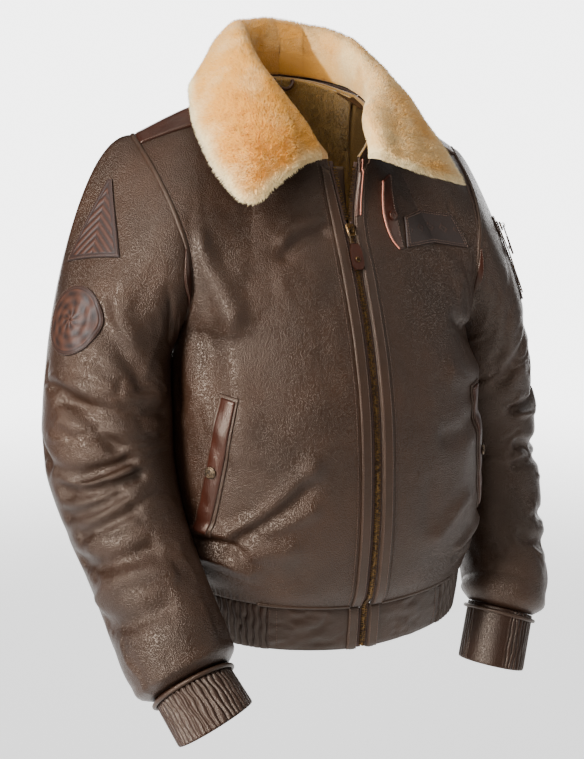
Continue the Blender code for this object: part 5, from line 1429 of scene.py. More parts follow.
def border_line(grid, normals, inset, sides="lbrt"):
    """Lines inside a grid's edges: l and r are its first and last column, b and t its rows."""
    down, along = runs(grid)
    v = inset / down[-1]
    h = inset / along[-1]
    walk = np.linspace(0, 1, 80)
    lines = []
    up = v + walk * (1 - 2 * v)
    aside = h + walk * (1 - 2 * h)
    even = np.ones(80)
    spots = {"l": (up, even * h), "r": (up, even * (1 - h)),
             "b": (even * v, aside), "t": (even * (1 - v), aside)}
    for key in sides:
        lines.append((sample(grid, *spots[key]), sample(normals, *spots[key])))
    return lines


TOPS = {}


def lay(name, grid, normals, on, low, thick, finish, sign=1, edge=0.0018, values=None, relief_by=None):
    """A strip or patch with a rolled rim, resting on pieces that are already made."""
    grid = on_side(grid, sign)
    normals = on_side(normals, sign)
    base = rest(grid, normals, on)
    height = low + thick * rounded(grid, edge)
    if relief_by is not None:
        height = height + relief_by
    top = base + normals * height[..., None]
    TOPS[name] = (top, normals)
    return solid(name, top, base + normals * low, [finish], values=values)


print("stitch pitch 3.4 mm")

# %% [markdown]
# ## Front trims
# A facing strip runs beside the zip. The slanted pocket has a stitched frame, a glossy welt
# and a snap. The throat strap shows its raw edge, a thin pale pink line.

# %% Front trims
def spot(surface, rises, across):
    """Points and normals of a panel at matching lists of places, one for each."""
    grid, normals = surface(np.linspace(0, 1, 181), np.linspace(0, 1, 121))
    row = np.asarray(rises) * 180
    column = np.asarray(across) * 120
    return between(grid, row, column), unit(between(normals, row, column))


def strip_spots(rises, edges, share):
    """A strip of the front between two edges, given as across at each rise."""
    across = edges[:, :1] + (edges[:, 1:] - edges[:, :1]) * share[None, :]
    return spot(front_surface, np.repeat(rises[:, None], len(share), axis=1), across)


def facing_places(near, far, rises):
    """Across for two distances from the front's edge at each rise."""
    across = np.linspace(0, 0.3, 90)
    grid, _ = front_surface(rises, across, False)
    steps = np.linalg.norm(np.diff(grid, axis=1), axis=2)
    run = np.concatenate([np.zeros((len(rises), 1)), np.cumsum(steps, axis=1)], axis=1)
    return np.array([[np.interp(d, row, across) for d in (near, far)] for row in run])


FACING_NEAR = 0.0012
FACING_FAR = 0.0145
FACING_TOP = 0.955
STRAP = table(
    "rise inner outer",
    (0.742, 0.236, 0.258),
    (0.76, 0.213, 0.262),
    (0.785, 0.196, 0.266),
    (0.825, 0.19, 0.274),
    (0.86, 0.205, 0.292),
    (0.89, 0.23, 0.32),
)
POCKET = ((0.177, 0.660), (0.187, 0.785), (0.457, 0.620), (0.450, 0.515))
POCKET_WELT = ((0.186, 0.677), (0.194, 0.769), (0.450, 0.605), (0.444, 0.530))
POCKET_SNAP = (0.320, 0.655)
SNAP_RADIUS = 0.0072
THROAT_SNAP = (0.815, 0.240)
THROAT_SNAP_RADIUS = 0.0060
CHEST_PATCH = ((0.745, 0.285), (0.757, 0.800), (0.820, 0.715), (0.807, 0.325))
lines = {"left": [], "right": []}
rises = np.linspace(0.004, FACING_TOP, 150)
facing = strip_spots(rises, facing_places(FACING_NEAR, FACING_FAR, rises), spread(7))
for side, sign in SIDES.items():
    front = ["leather_front_" + side]
    piece = lay("facing_" + side, *facing, front, 0.0003, 0.0021, TRIM_LEATHER, sign)
    settle(piece, ["zip_facing_" + side], cut=facing[0])
    lines[side] += border_line(*TOPS["facing_" + side], 0.0028, "lr")
    walk = facing_places(FACING_FAR + 0.0005, FACING_FAR + 0.0045, rises)[:, 1:]
    grid, normals = spot(front_surface, rises[:, None], walk)
    grid = rest(on_side(grid, sign), on_side(normals, sign), front)
    lines[side].append((grid[:, 0], on_side(normals, sign)[:, 0]))


def pocket_places(corners, rows, columns):
    """A sheet of the front inside four corners, (rise, across) round from the low middle one."""
    v = spread(rows)[:, None, None]
    h = spread(columns)[None, :, None]
    low_in, low_out, high_out, high_in = (np.array(c, float) for c in corners)
    places = (low_in * (1 - v) + high_in * v) * (1 - h) + (low_out * (1 - v) + high_out * v) * h
    return spot(front_surface, places[..., 0], places[..., 1])


for side, sign in SIDES.items():
    front = ["leather_front_" + side]
    frame_grid = pocket_places(POCKET, 60, 16)
    piece = lay("pocket_edge_" + side, *frame_grid, front, 0.0003, 0.0016, TRIM_LEATHER, sign)
    settle(piece, ["pocket_frame_" + side], cut=frame_grid[0])
    welt_grid = pocket_places(POCKET_WELT, 60, 18)
    down, along = runs(welt_grid[0])
    bulge = 0.0012 * np.sin(math.pi * along / along[-1])[None, :] + 0 * down[:, None]
    edge = ["pocket_edge_" + side]
    piece = lay("pocket_lip_" + side, *welt_grid, edge, 0.0002, 0.0018, BROWN, sign, relief_by=bulge)
    settle(piece, ["pocket_welt_" + side], cut=welt_grid[0])
    lines[side] += border_line(*TOPS["pocket_edge_" + side], 0.0016)

rises = np.linspace(STRAP["rise"][0], STRAP["rise"][-1], 60)
strap = strip_spots(rises, follow(STRAP, rises, "inner outer"), spread(8))
piece = lay("strap", *strap, ["leather_front_left"], 0.0003, 0.0020, BROWN)
settle(piece, ["throat_strap"], cut=strap[0])
top, normals = TOPS["strap"]
raw = top[:, 0] + normals[:, 0] * 0.0002
settle(tube("strap_raw_edge", raw, 0.00075, RAW_EDGE), [], "throat_strap")
lines["left"] += border_line(top, normals, 0.0022, "lr")

# The red-brown facing that shows at the top of the left front, with its raw edge
rises = np.linspace(0.835, 0.982, 50)
grid = strip_spots(rises, facing_places(0.0008, 0.0075, rises), spread(8))
piece = lay("neck_facing", *grid, ["leather_front_left", "facing_left"], 0.0002, 0.0009, BROWN)
settle(piece, [], "zip_facing_left", grid[0])
top, normals = TOPS["neck_facing"]
raw = top[:, -1] + normals[:, -1] * 0.0003
settle(tube("neck_raw_edge", raw, 0.00085, RAW_EDGE), [], "zip_facing_left")
print("facing, pockets and strap laid")

# %% [markdown]
# ## Tooled leather
# The three patches have pressed motifs: chevrons, a rosette and a row of diamonds. Each motif is a
# formula of the place on the patch, so it stays sharp from close by, and a raised line follows the
# patch's rim.

# %% Patch finish
def make_patch(name, light, dark, kind):
    """Tooled leather. pu and pv are metres from the patch's middle, rim is metres from its edge."""
    paint = Paint(name)
    u = paint.value("pu")
    v = paint.value("pv")
    rim = paint.value("rim")
    side = u.math("ABSOLUTE", u, 0.0)
    if kind == "chevrons":
        wave = (v + side * 1.1) * (6.2832 / 0.0105)
        motif = wave.math("SINE", wave, 0.0) * 0.5 + 0.5
        motif = motif * paint.ramp(rim, 0.0050, 0.0062)
    elif kind == "rosette":
        reach = (u * u + v * v) ** 0.5
        angle = u.math("ARCTAN2", v, u) * 8.0
        petal = angle.math("SINE", angle + reach * 260.0, 0.0)
        ring = (reach * 620.0).math("SINE", reach * 620.0, 0.0)
        motif = (petal * 0.35 + ring * 0.3 + 0.5) * paint.ramp(rim, 0.0040, 0.0055)
    else:
        cell = (u * 50.0 + 0.5).math("FRACT", u * 50.0 + 0.5, 0.0) - 0.5
        far = cell.math("ABSOLUTE", cell, 0.0) * 0.020 + v.math("ABSOLUTE", v, 0.0)
        ring = (1.0 - paint.ramp(far, 0.0058, 0.0068)) * paint.ramp(far, 0.0028, 0.0038)
        motif = ring * paint.ramp(rim, 0.007, 0.008)
    border = paint.ramp(rim, 0.0016, 0.0022) * (1.0 - paint.ramp(rim, 0.0032, 0.0040))
    shape = motif * 0.8 + border * 0.2
    worn = paint.noise(260.0, 4.0)
    colour = paint.mix((shape * 0.85 + worn * 0.4 - 0.1).clamp(), dark, light)
    normal = paint.bump(shape + worn * 0.3, 0.0009, 0.8)
    normal = paint.bump(paint.cells(900.0), 0.0003, 0.4, normal)
    paint.shader.inputs["Specular IOR Level"].default_value = 0.30
    return paint.finish(Base_Color=colour, Roughness=0.46 + worn * 0.16, Normal=normal)


PATCH_TALL = make_patch("patch_chevrons", rgb(66, 36, 22), rgb(26, 14, 9), "chevrons")
PATCH_ROUND = make_patch("patch_rosette", rgb(66, 37, 23), rgb(28, 15, 10), "rosette")
PATCH_CHEST = make_patch("patch_diamonds", rgb(50, 32, 22), rgb(32, 20, 14), "diamonds")


print("three patch finishes")

# %% [markdown]
# ## Chest patch and shoulders
# The patch is a sheet between four corners on the left front. A red-brown strip covers each
# shoulder seam. Its rows run from the front panel over to the back, and their normals are smoothed,
# so that it bends over the seam and has no crease there.

# %% Chest patch and shoulders
grid = pocket_places(CHEST_PATCH, 30, 56)
rim, up, aside = rim_of(grid[0])
values = {"pu": aside, "pv": up, "rim": rim}
on = ["leather_front_left"]
piece = lay("chest_badge", *grid, on, 0.0003, 0.0022, PATCH_CHEST, values=values)
settle(piece, ["chest_patch"], cut=grid[0])
for inset in (0.0018, 0.0048):
    lines["left"] += border_line(*TOPS["chest_badge"], inset)

across = np.linspace(0.30, 0.992, 60)
near_edge = np.interp(across, (0.30, 0.60, 1.0), (0.940, 0.958, 0.980))
ahead = near_edge[None, :] + (0.996 - near_edge[None, :]) * np.linspace(0, 1, 12)[:, None]
columns = np.repeat(across[None], len(ahead), axis=0)
front, front_normals = spot(front_surface, ahead, columns)
back, back_normals = spot(back_surface, ahead[::-1], columns)
grid = np.concatenate([front, back])
normals = np.concatenate([front_normals, back_normals])
for _ in range(3):
    normals[1:-1] = unit(normals[:-2] + normals[1:-1] * 2 + normals[2:])
for side, sign in SIDES.items():
    on = ["leather_front_" + side, "leather_back"]
    piece = lay("shoulder_strip_" + side, grid, normals, on, 0.0005, 0.0020, BROWN, sign)
    settle(piece, ["shoulder_band_" + side], cut=grid)
    lines[side] += border_line(*TOPS["shoulder_strip_" + side], 0.0026, "bt")
print("shoulder strips and chest patch laid")

# %% [markdown]
# ## Armholes, gussets and sleeve patches
# A piped seam runs round each armhole and a leaf of red-brown leather fills each underarm. The
# right sleeve has a tall triangle and a round patch, and the left one a zipped pocket. These are
# drawn flat and pressed onto the sleeve along the way they face, so their outlines stay true.

# %% Sleeve pieces
def sleeve_grid(side):
    """A fine sheet of one sleeve's outside, for what lies on it."""
    sections, folds, full = SLEEVES[side]
    turns = np.arange(120) / 120
    return sleeve_surface(sections, folds, full, 40, 90, turns)


def sleeve_spot(sheet, head, turns):
    """Points and normals of a sleeve; head is 0 at the armhole, 1 where the tube starts, 2 at its end."""
    grid, normals = sheet
    row = np.where(head <= 1, head * 40, 40 + (head - 1) * 90)
    column = (turns % 1) * 120
    return between(grid, row, column, True), unit(between(normals, row, column, True))


def press(targets, way, sheet):
    """Drop points along one way onto a sheet, each to the plane at its nearest point."""
    grid, normals = sheet
    places = grid.reshape(-1, 3)
    ways = normals.reshape(-1, 3)
    facing = ways @ way > 0.2
    places = places[facing]
    ways = ways[facing]
    flat = targets.reshape(-1, 3)
    points = np.empty_like(flat)
    outs = np.empty_like(flat)
    for i, target in enumerate(flat):
        for _ in range(3):
            near = np.argmin(((places - target) ** 2).sum(axis=1))
            target = target + way * (((places[near] - target) @ ways[near]) / (way @ ways[near]))
        points[i] = target
        outs[i] = ways[near]
    return points.reshape(targets.shape), outs.reshape(targets.shape)


TRIANGLE_PATCH = {"head": 0.43, "turn": 0.440, "wide": 0.062, "tall": 0.100, "tilt": -0.10}
ROUND_PATCH = {"head": 0.835, "turn": 0.415, "radius": 0.037}


def patch_frame(sheet, head, turn):
    """A patch's middle, the way it faces and its ways across and up."""
    point, normal = sleeve_spot(sheet, np.array([head]), np.array([turn]))
    way = normal[0]
    across = unit(np.cross((0.0, 0.0, 1.0), way))
    return point[0], way, across, np.cross(way, across)


SLEEVE_POCKET = {"head": 0.62, "turn": 0.435, "wide": 0.024, "tall": 0.115}
walk = np.arange(160) / 160
loop = armhole_loop(walk)
for side, sign in SIDES.items():
    sections, folds, full = SLEEVES[side]
    grid, normals = sleeve_surface(sections, folds, full, 20, 20, walk, False)
    outs = unit(normals[0] + normals[1])
    ring = loop + outs * 0.0004
    outs = on_side(outs, sign)
    name = "armhole_piping_" + side
    piece = tube(name, on_side(ring, sign), 0.0030, TRIM_LEATHER, closed=True, flat=0.6, outs=outs)
    settle(piece, [], "sleeve_" + side)
    on = ["leather_front_" + side]
    rises = np.linspace(0.60, 0.915, 90)
    spots, ways = spot(front_surface, rises[:, None], np.full((90, 1), 0.955))
    spots = rest(on_side(spots, sign), on_side(ways, sign), on)
    lines[side].append((spots[:, 0], on_side(ways, sign)[:, 0]))

sheets = {side: sleeve_grid(side) for side in SIDES}
turn = np.linspace(0.09, 0.25, 50)
swell = np.sin(math.pi * (turn - turn[0]) / (turn[-1] - turn[0]))
for side, sign in SIDES.items():
    head = 0.03 + spread(10)[:, None] * (0.02 + 0.17 * swell)[None, :]
    grid = sleeve_spot(sheets[side], head, np.repeat(turn[None], len(head), axis=0))
    on = ["leather_sleeve_" + side]
    piece = lay("gusset_" + side, *grid, on, 0.0004, 0.0014, BROWN, sign)
    settle(piece, ["underarm_gusset_" + side], cut=grid[0])
    lines[side] += border_line(*TOPS["gusset_" + side], 0.0020, "t")

sheet = sheets["right"]
sign = SIDES["right"]
middle, way, aside, up = patch_frame(sheet, TRIANGLE_PATCH["head"], TRIANGLE_PATCH["turn"])
tilt = TRIANGLE_PATCH["tilt"]
aside, up = aside * math.cos(tilt) + up * math.sin(tilt), up * math.cos(tilt) - aside * math.sin(tilt)
v = spread(36)[:, None, None]
h = spread(18)[None, :, None] - 0.5
tall = TRIANGLE_PATCH["tall"]
wide = TRIANGLE_PATCH["wide"] * 1.10
targets = middle + up * ((v - 0.5) * tall) + aside * (h * wide * (1.06 - v) + 0.0055 * (1 - v))
points, normals = press(targets, way, sheet)
pu = (h * wide * (1.06 - v))[..., 0]
pv = ((v - 0.5) * tall + 0 * h)[..., 0]
to_side = (0.5 - np.abs(h)) * wide * (1.06 - v)
rim = np.minimum(np.minimum(to_side, v * tall), (1 - v) * tall)[..., 0]
values = {"pu": pu, "pv": pv, "rim": rim}
on = ["leather_sleeve_right"]
piece = lay("badge_triangle", points, normals, on, 0.0005, 0.0020, PATCH_TALL, sign, values=values)
settle(piece, ["patch_triangle"], cut=points)
middle, way, aside, up = patch_frame(sheet, ROUND_PATCH["head"] + 0.02, ROUND_PATCH["turn"])
up = up * 1.10
reach = np.concatenate([np.linspace(0.02, 0.9, 30), [0.94, 0.97, 0.99, 1.0]])[:, None, None]
reach = reach * ROUND_PATCH["radius"]
turn = (np.arange(90) / 90 * 2 * math.pi)[None, :, None]
targets = middle + aside * (reach * np.cos(turn)) + up * (reach * np.sin(turn))
points, normals = press(targets, way, sheet)
points = on_side(points, sign)
normals = on_side(normals, sign)
base = rest(points, normals, on)
rim = (ROUND_PATCH["radius"] - reach)[..., 0] + 0 * turn[..., 0]
top = base + normals * (0.0005 + 0.0020 * rolled(rim, 0.002))[..., None]
values = {"pu": (reach * np.cos(turn))[..., 0], "pv": (reach * np.sin(turn))[..., 0], "rim": rim}
piece = solid("badge_round", top, base + normals * 0.0005, [PATCH_ROUND], wrap=True, values=values)
settle(piece, ["patch_round"], cut=(points, True))
closed = [np.concatenate([grid, grid[:, :1]], axis=1) for grid in (top, normals)]
ring = [sample(grid, np.full(100, 0.955), np.linspace(0, 1, 100)) for grid in closed]
badge_lines = [ring] + border_line(*TOPS["badge_triangle"], 0.0022)
piece = stitches("stitches_badges", badge_lines, pitch=0.0030, long=0.0021, radius=0.00036)
settle(piece, [], "sleeve_right")

middle, way, aside, up = patch_frame(sheets["left"], SLEEVE_POCKET["head"], SLEEVE_POCKET["turn"])
v = (spread(30) - 0.5)[:, None, None]
h = (spread(8) - 0.5)[None, :, None]
targets = middle + up * (v * SLEEVE_POCKET["tall"]) + aside * (h * SLEEVE_POCKET["wide"])
points, normals = press(targets, way, sheets["left"])
piece = lay("arm_pocket", points, normals, ["leather_sleeve_left"], 0.0005, 0.0016, TRIM_LEATHER)
settle(piece, ["sleeve_pocket"], cut=points)
lines["left"] += border_line(*TOPS["arm_pocket"], 0.0018)
print("armholes, gussets and patches laid")

# %% [markdown]
# ## Waistband
# Elastic inside gathers the leather into rounded ribs with narrow grooves between them. They
# aren't even: each rib wanders a little and some are fuller than others. The parts at the zip and
# the back are plain.

# %% Waistband
BAND_INSET_TOP = 0.0045
BAND_INSET_LOW = 0.0110
BAND_WALL = 0.0035
RIB = 0.0016
WAIST_RIB_PITCH = 0.0086
BAND_FRONT_END = 0.118
BAND_BACK_START = 0.150


def hem_line():
    """The left half of the hem from the zip round to the middle of the back."""
    fine = np.linspace(0, 1, 161)
    front = front_surface(np.array([0.0, 0.01]), fine, False)[0][0]
    back = back_surface(np.array([0.0, 0.01]), fine, False)[0][0][::-1]
    points = np.concatenate([front, back[1:]])
    return points, run_of(points)


def band_inset(drop):
    """How far the band draws in at a drop below the hem."""
    return BAND_INSET_TOP + (BAND_INSET_LOW - BAND_INSET_TOP) * (drop / BAND_HEIGHT) ** 1.5


def band_points(girth, drop, proud):
    """Points of the band at lengths round from the zip; proud moves them out."""
    points, run = hem_line()
    spots = at_runs(girth, run, points)
    way = at_runs(girth + 0.006, run, points) - at_runs(girth - 0.006, run, points)
    out = unit(np.stack([way[:, 1], -way[:, 0], np.zeros(len(way))], axis=-1))
    return np.stack([spots + out * (proud - band_inset(fall))[:, None] - [0, 0, fall] for fall in drop])


def rib_wave(phase, drop, seed, depth):
    """Rounded ridges; phase counts them and drop runs along them from 0 to 1."""
    pick = np.random.default_rng(seed)
    count = int(phase.max()) + 3
    sway = pick.uniform(-1, 1, (count, 3))
    near = np.clip(phase, 0, count - 2)
    k = near.astype(int)
    f = near - k
    amount = sway[k] * (1 - f)[..., None] + sway[k + 1] * f[..., None]
    wander = 0.16 * amount[..., 0] * np.sin(drop * 7 + amount[..., 1] * 3)
    wander = wander + 0.10 * np.sin(drop * 15 + phase * 1.7)
    full = 1 + 0.25 * amount[..., 2]
    return depth * full * (np.abs(np.sin(math.pi * (phase + wander))) ** 0.6 - 0.62)


total = hem_line()[1][-1]
back_start = total - BAND_BACK_START
rib_count = round((back_start - BAND_FRONT_END) / WAIST_RIB_PITCH)
drop = np.linspace(SEAM_GAP, BAND_HEIGHT, 34)


def band_grid(girth, face=-1, columns=None):
    """The band's points and normals; face is the sign of y that its first columns look to."""
    grid = band_points(girth, drop, np.zeros(len(girth)))
    normals = grid_normals(grid)
    if normals[:, :columns, 1].mean() * face < 0:
        normals = -normals
    return grid, normals


for side, sign in SIDES.items():
    girth = np.linspace(SEAM_GAP, BAND_FRONT_END - SEAM_GAP, 70)
    grid, normals = band_grid(girth)
    inner = grid - normals * BAND_WALL
    folds = scatter(90 + sign, 26, (0.01, 0.004), (0.115, 0.05), 0.022, 0.2, 0.0045, 0.0009)
    seams = np.exp(-(drop / 0.006) ** 2) + np.exp(-((BAND_HEIGHT - drop) / 0.004) ** 2)
    height = relief(girth[None, :], drop[:, None], folds) - 0.0012 * seams[:, None]
    grid = grid + normals * height[..., None]
    front = ["leather_front_" + side]
    piece = solid("waist_front_" + side, grid, inner, [LEATHER_BAND, LINING], sign=sign)
    settle(piece, ["band_front_" + side], cut=inner)
    for place in (BAND_FRONT_END - 0.0035, BAND_FRONT_END - 0.012):
        column = int(np.argmin(np.abs(girth - place)))
        lines[side].append([on_side(sheet[1:-1, column], sign) for sheet in (grid, normals)])
    girth = np.linspace(BAND_FRONT_END - 0.0022, back_start + 0.0022, rib_count * 11)
    grid, normals = band_grid(girth, columns=3)
    inner = grid - normals * (BAND_WALL + RIB / 2)
    phase = (girth - BAND_FRONT_END) / (back_start - BAND_FRONT_END) * rib_count
    phase, down = np.meshgrid(phase, drop / BAND_HEIGHT)
    wave = rib_wave(phase, down, 7 + sign, 0.0028)
    hold = np.clip(drop / 0.003, 0.35, 1) * np.clip((BAND_HEIGHT - drop) / 0.003, 0.35, 1)
    grid = grid + normals * (wave * hold[:, None])[..., None]
    piece = solid("waist_ribs_" + side, grid, inner, [LEATHER_BAND, LINING], sign=sign)
    settle(piece, ["band_ribs_" + side], cut=inner)
    places = np.linspace(0.0145, BAND_FRONT_END + 0.012, 60)
    top = band_points(places, np.array([0.0]), np.full(60, 0.0042))[0]
    piece = tube("hem_piping_" + side, on_side(top + [0, 0, 0.0012], sign), 0.0024, TRIM_LEATHER)
    settle(piece, [], "front_" + side)
    girth = 0.0012 + spread(8) * 0.0135
    grid, normals = band_grid(girth)
    on = ["waist_front_" + side]
    piece = lay("placket_" + side, grid, normals, on, 0.0004, 0.0018, TRIM_LEATHER, sign)
    settle(piece, [], "band_front_" + side, grid)
    lines[side] += border_line(*TOPS["placket_" + side], 0.0026, "lr")
girth = np.linspace(back_start, total, 90)
grid, normals = band_grid(girth, face=1)
outer = np.concatenate([grid, mirrored(grid[:, -2::-1])], axis=1)
wall = np.concatenate([normals, mirrored(normals[:, -2::-1])], axis=1) * BAND_WALL
piece = solid("waist_back", outer, outer - wall, [LEATHER_BAND, LINING])
settle(piece, ["band_back"], cut=outer)
print("waistband ribs on each side:", rib_count)

# %% [markdown]
# ## Cuffs
# A cuff is a stack of rings from the sleeve's end to the hand, ribbed like the waistband but for a
# plain part. Each ring slants more than the one before, so the side that faces the camera hangs
# lower, and a piped welt covers the seam.

# %% Cuffs
CUFF_RIB = 0.0013
CUFF_WALL = 0.003
CUFF_START = 0.007      # of the cuff's length, clear of the sleeve's end
CUFFS = {
    "right": (SLEEVE_RIGHT, CUFF_RIGHT_END, 0.0445, 0.0455, (0.83, 0.99)),
    "left": (SLEEVE_LEFT, CUFF_LEFT_END, 0.0425, 0.0425, (0.02, 0.22)),
}


def cuff_frame(side):
    """The cuff's two middles and the ways across it."""
    sections, end = CUFFS[side][:2]
    start = follow(sections, [1.0])[0]
    end = np.array(end, float)
    run = unit(end - start)
    out = unit(np.array([1.0, 0.0, 0.0]) - run * run[0])
    front = unit(np.cross(run, out))
    return start, end, out, front


def cuff_ring(side, part, radius, turns):
    """One ring of the cuff; part is 0 at the sleeve and 1 at the hand."""
    start, end, out, front = cuff_frame(side)
    _, sleeve_out, sleeve_front = arm_frame(CUFFS[side][0], np.array([1.0]))
    turned = min(1.0, part * 2)
    out = unit(sleeve_out[0] * (1 - turned) + out * turned)
    front = unit(sleeve_front[0] * (1 - turned) + front * turned)
    angle = turns * 2 * math.pi
    way = -np.cos(angle)[:, None] * out + np.sin(angle)[:, None] * front
    return start + (end - start) * part + way * np.asarray(radius)[:, None]


CUFF_WELT = 0.0022
RIBS_ROUND = 44
SLANT = {"right": 0.42, "left": 0.10}
count = RIBS_ROUND * 9
walk = np.arange(count) / count
parts = np.linspace(CUFF_START, 1.0, 30)
for side, sign in SIDES.items():
    _, _, top_radius, low_radius, plain = CUFFS[side]
    outer = []
    inner = []
    inside_plain = np.clip((walk - plain[0]) / 0.01, 0, 1) * np.clip((plain[1] - walk) / 0.01, 0, 1)
    phase = walk * RIBS_ROUND
    for part in parts:
        radius = top_radius + (low_radius - top_radius) * part
        wave = rib_wave(phase, np.full(count, part), 31 + sign, 0.0026) * (1 - inside_plain)
        hold = min(1.0, 0.35 + part / 0.06) * min(1.0, 0.35 + (1 - part) / 0.06)
        outer.append(cuff_ring(side, part, radius + wave * hold + 0.0002, walk))
        inner.append(cuff_ring(side, part, np.full(count, radius - CUFF_RIB / 2 - CUFF_WALL), walk))
    outer = np.stack(outer)
    inner = np.stack(inner)
    start, end, _, _ = cuff_frame(side)
    run = unit(end - start)
    view = unit(on_side(np.array(CAMERA_PLACE), sign) - start)
    middles = start + (end - start) * parts[:, None, None]
    for grid in (outer, inner):
        slant = ((grid - middles) @ view) * SLANT[side] * (parts ** 1.5)[:, None]
        grid += run * slant[..., None]
    piece = solid("cuff_ribs_" + side, outer, inner, [LEATHER_BAND, LINING], wrap=True, sign=sign)
    on = ["leather_sleeve_" + side]
    settle(piece, ["cuff_" + side], cut=(inner, True))
    ring = cuff_ring(side, 0.10, np.full(120, top_radius + CUFF_RIB + CUFF_WELT), np.arange(120) / 120)
    piece = tube("cuff_piping_" + side, on_side(ring, sign), 0.0026, TRIM_LEATHER, closed=True)
    settle(piece, ["cuff_welt_" + side])
print("cuff ribs:", RIBS_ROUND)

# %% [markdown]
# ## Zip
# One tooth is modelled as a block with bevelled edges, then set along both tapes half a pitch
# apart. Below the slider the two rows mesh; above it each row follows its own open edge. A soft
# flap lies behind the opening.

# %% Zip
TAPE_SUNK = 0.0006
TAPE_THICK = 0.0012
TAPE_WIDE = 0.0050
TOOTH = (0.0043, 0.0017, 0.0026)
PITCH = 0.0030
SLIDER_RISE = 0.800
ZIP_TOP = 0.985


def zip_line(places):
    """The front's edge in left form; below 0 it runs down the waistband."""
    line = follow(CENTRE_FRONT, np.clip(places, 0, 1))
    drop = (-places).clip(0) * BAND_HEIGHT
    line[:, 1] += band_inset(drop) * np.clip(1 - places / 0.03, 0, 1)
    line[:, 2] -= drop
    return line


def zip_normals(places):
    """The way out of the body along the zip."""
    step = 0.01
    run = unit(zip_line(places + step) - zip_line(places - step))
    run[:, 0] = 0
    run = unit(run)
    return np.stack([np.zeros(len(run)), -run[:, 2], run[:, 1]], axis=1)


def bevelled_block(name, size, bevel, finish):
    """A small hard block with rounded edges, its scale and bevel applied."""
    bpy.ops.object.select_all(action="DESELECT")
    bpy.ops.mesh.primitive_cube_add(size=1)
    piece = bpy.context.object
    piece.name = name
    piece.scale = size
    bpy.ops.object.transform_apply(location=False, rotation=False, scale=True)
    rim = piece.modifiers.new("rim", "BEVEL")
    rim.width = bevel
    rim.segments = 2
    bpy.ops.object.modifier_apply(modifier="rim")
    piece.data.materials.append(finish)
    return piece


def copies(name, piece, centres, asides, alongs, outs, finish):
    """One mesh with a copy of a block at each centre, turned to three given ways."""
    corners = np.array([v.co for v in piece.data.vertices])
    frames = np.stack([asides, alongs, outs], axis=1)
    points = centres[:, None] + np.einsum("vk,nkj->nvj", corners, frames)
    faces = []
    flip = np.linalg.det(frames[0]) < 0
    for polygon in piece.data.polygons:
        corner = list(polygon.vertices)
        faces.append(corner[::-1] if flip else corner)
    every = [[i + n * len(corners) for i in f] for n in range(len(centres)) for f in faces]
    return make_mesh(name, points.reshape(-1, 3), np.array(every, dtype=object), [finish], smooth=False)


def opening(places):
    """How much wider the zip stands above the slider."""
    return 0.0016 * ((places - 0.78) / 0.2).clip(0)


def tape_grid(places, inner, height):
    """The tape's points at some distances in from the front's edge."""
    reach = inner[None, :] + opening(places)[:, None]
    grid = zip_line(places)[:, None] - reach[..., None] * np.array([1.0, 0.0, 0.0])
    return grid + zip_normals(places)[:, None] * height


tooth = bevelled_block("one_tooth", TOOTH, 0.00035, BRASS)
fine = np.linspace(-0.95, ZIP_TOP - 0.012, 900)
run = run_of(zip_line(fine))
for side, sign in SIDES.items():
    places = np.concatenate([np.linspace(-0.97, 0, 12), np.linspace(0.01, ZIP_TOP, 150)])
    grid = tape_grid(places, np.linspace(SEAM_GAP, TAPE_WIDE, 5), -TAPE_SUNK)
    low = grid - zip_normals(places)[:, None] * TAPE_THICK
    piece = solid("tape_" + side, grid, low, [TAPE], sign=sign)
    on = ["leather_front_" + side]
    settle(piece, ["zip_tape_" + side], cut=grid)
    spots = np.arange(PITCH / 2 + (0 if sign > 0 else PITCH / 2), run[-1], PITCH)
    rise = np.interp(spots, run, fine)
    rise = rise[(rise < SLIDER_RISE - 0.010) | (rise > SLIDER_RISE + 0.026)]
    centre = zip_line(rise)
    opened = rise > SLIDER_RISE
    centre[:, 0] = np.where(opened, centre[:, 0] - 0.0052 - opening(rise), 0.0013)
    out = zip_normals(rise)
    centre = centre + out * -0.0002
    ahead = unit(zip_line(rise + 0.004) - zip_line(rise - 0.004))
    aside = unit(np.cross(ahead, out))
    ways = [on_side(grid, sign) for grid in (centre, aside, ahead, out)]
    piece = copies("teeth_" + side, tooth, *ways, BRASS)
    settle(piece, ["zip_teeth_" + side] + (["zip_chain"] if sign > 0 else []))
bpy.data.objects.remove(tooth)
rises = np.linspace(0.56, 0.975, 60)
line = zip_line(rises)
out = zip_normals(rises)
share = spread(8)
start = -line[:, 0] - 0.014
grid = np.repeat(line[:, None] * np.array([0.0, 1.0, 1.0]), len(share), axis=1)
grid[..., 0] = start[:, None] * (1 - share)[None] + 0.004 * share[None]
grid[..., 1] += 0.0036 * np.clip(1 - share * 3, 0, 1)[None]
back = out[:, None] * -(WALL + 0.0052)
bulge = out[:, None] * (0.0024 * rounded(grid, 0.002))[..., None]
piece = solid("storm_flap", grid + back + bulge, grid + back, [TRIM_LEATHER])
settle(piece, ["wind_flap"], cut=grid)
print("zip teeth pitch", PITCH)
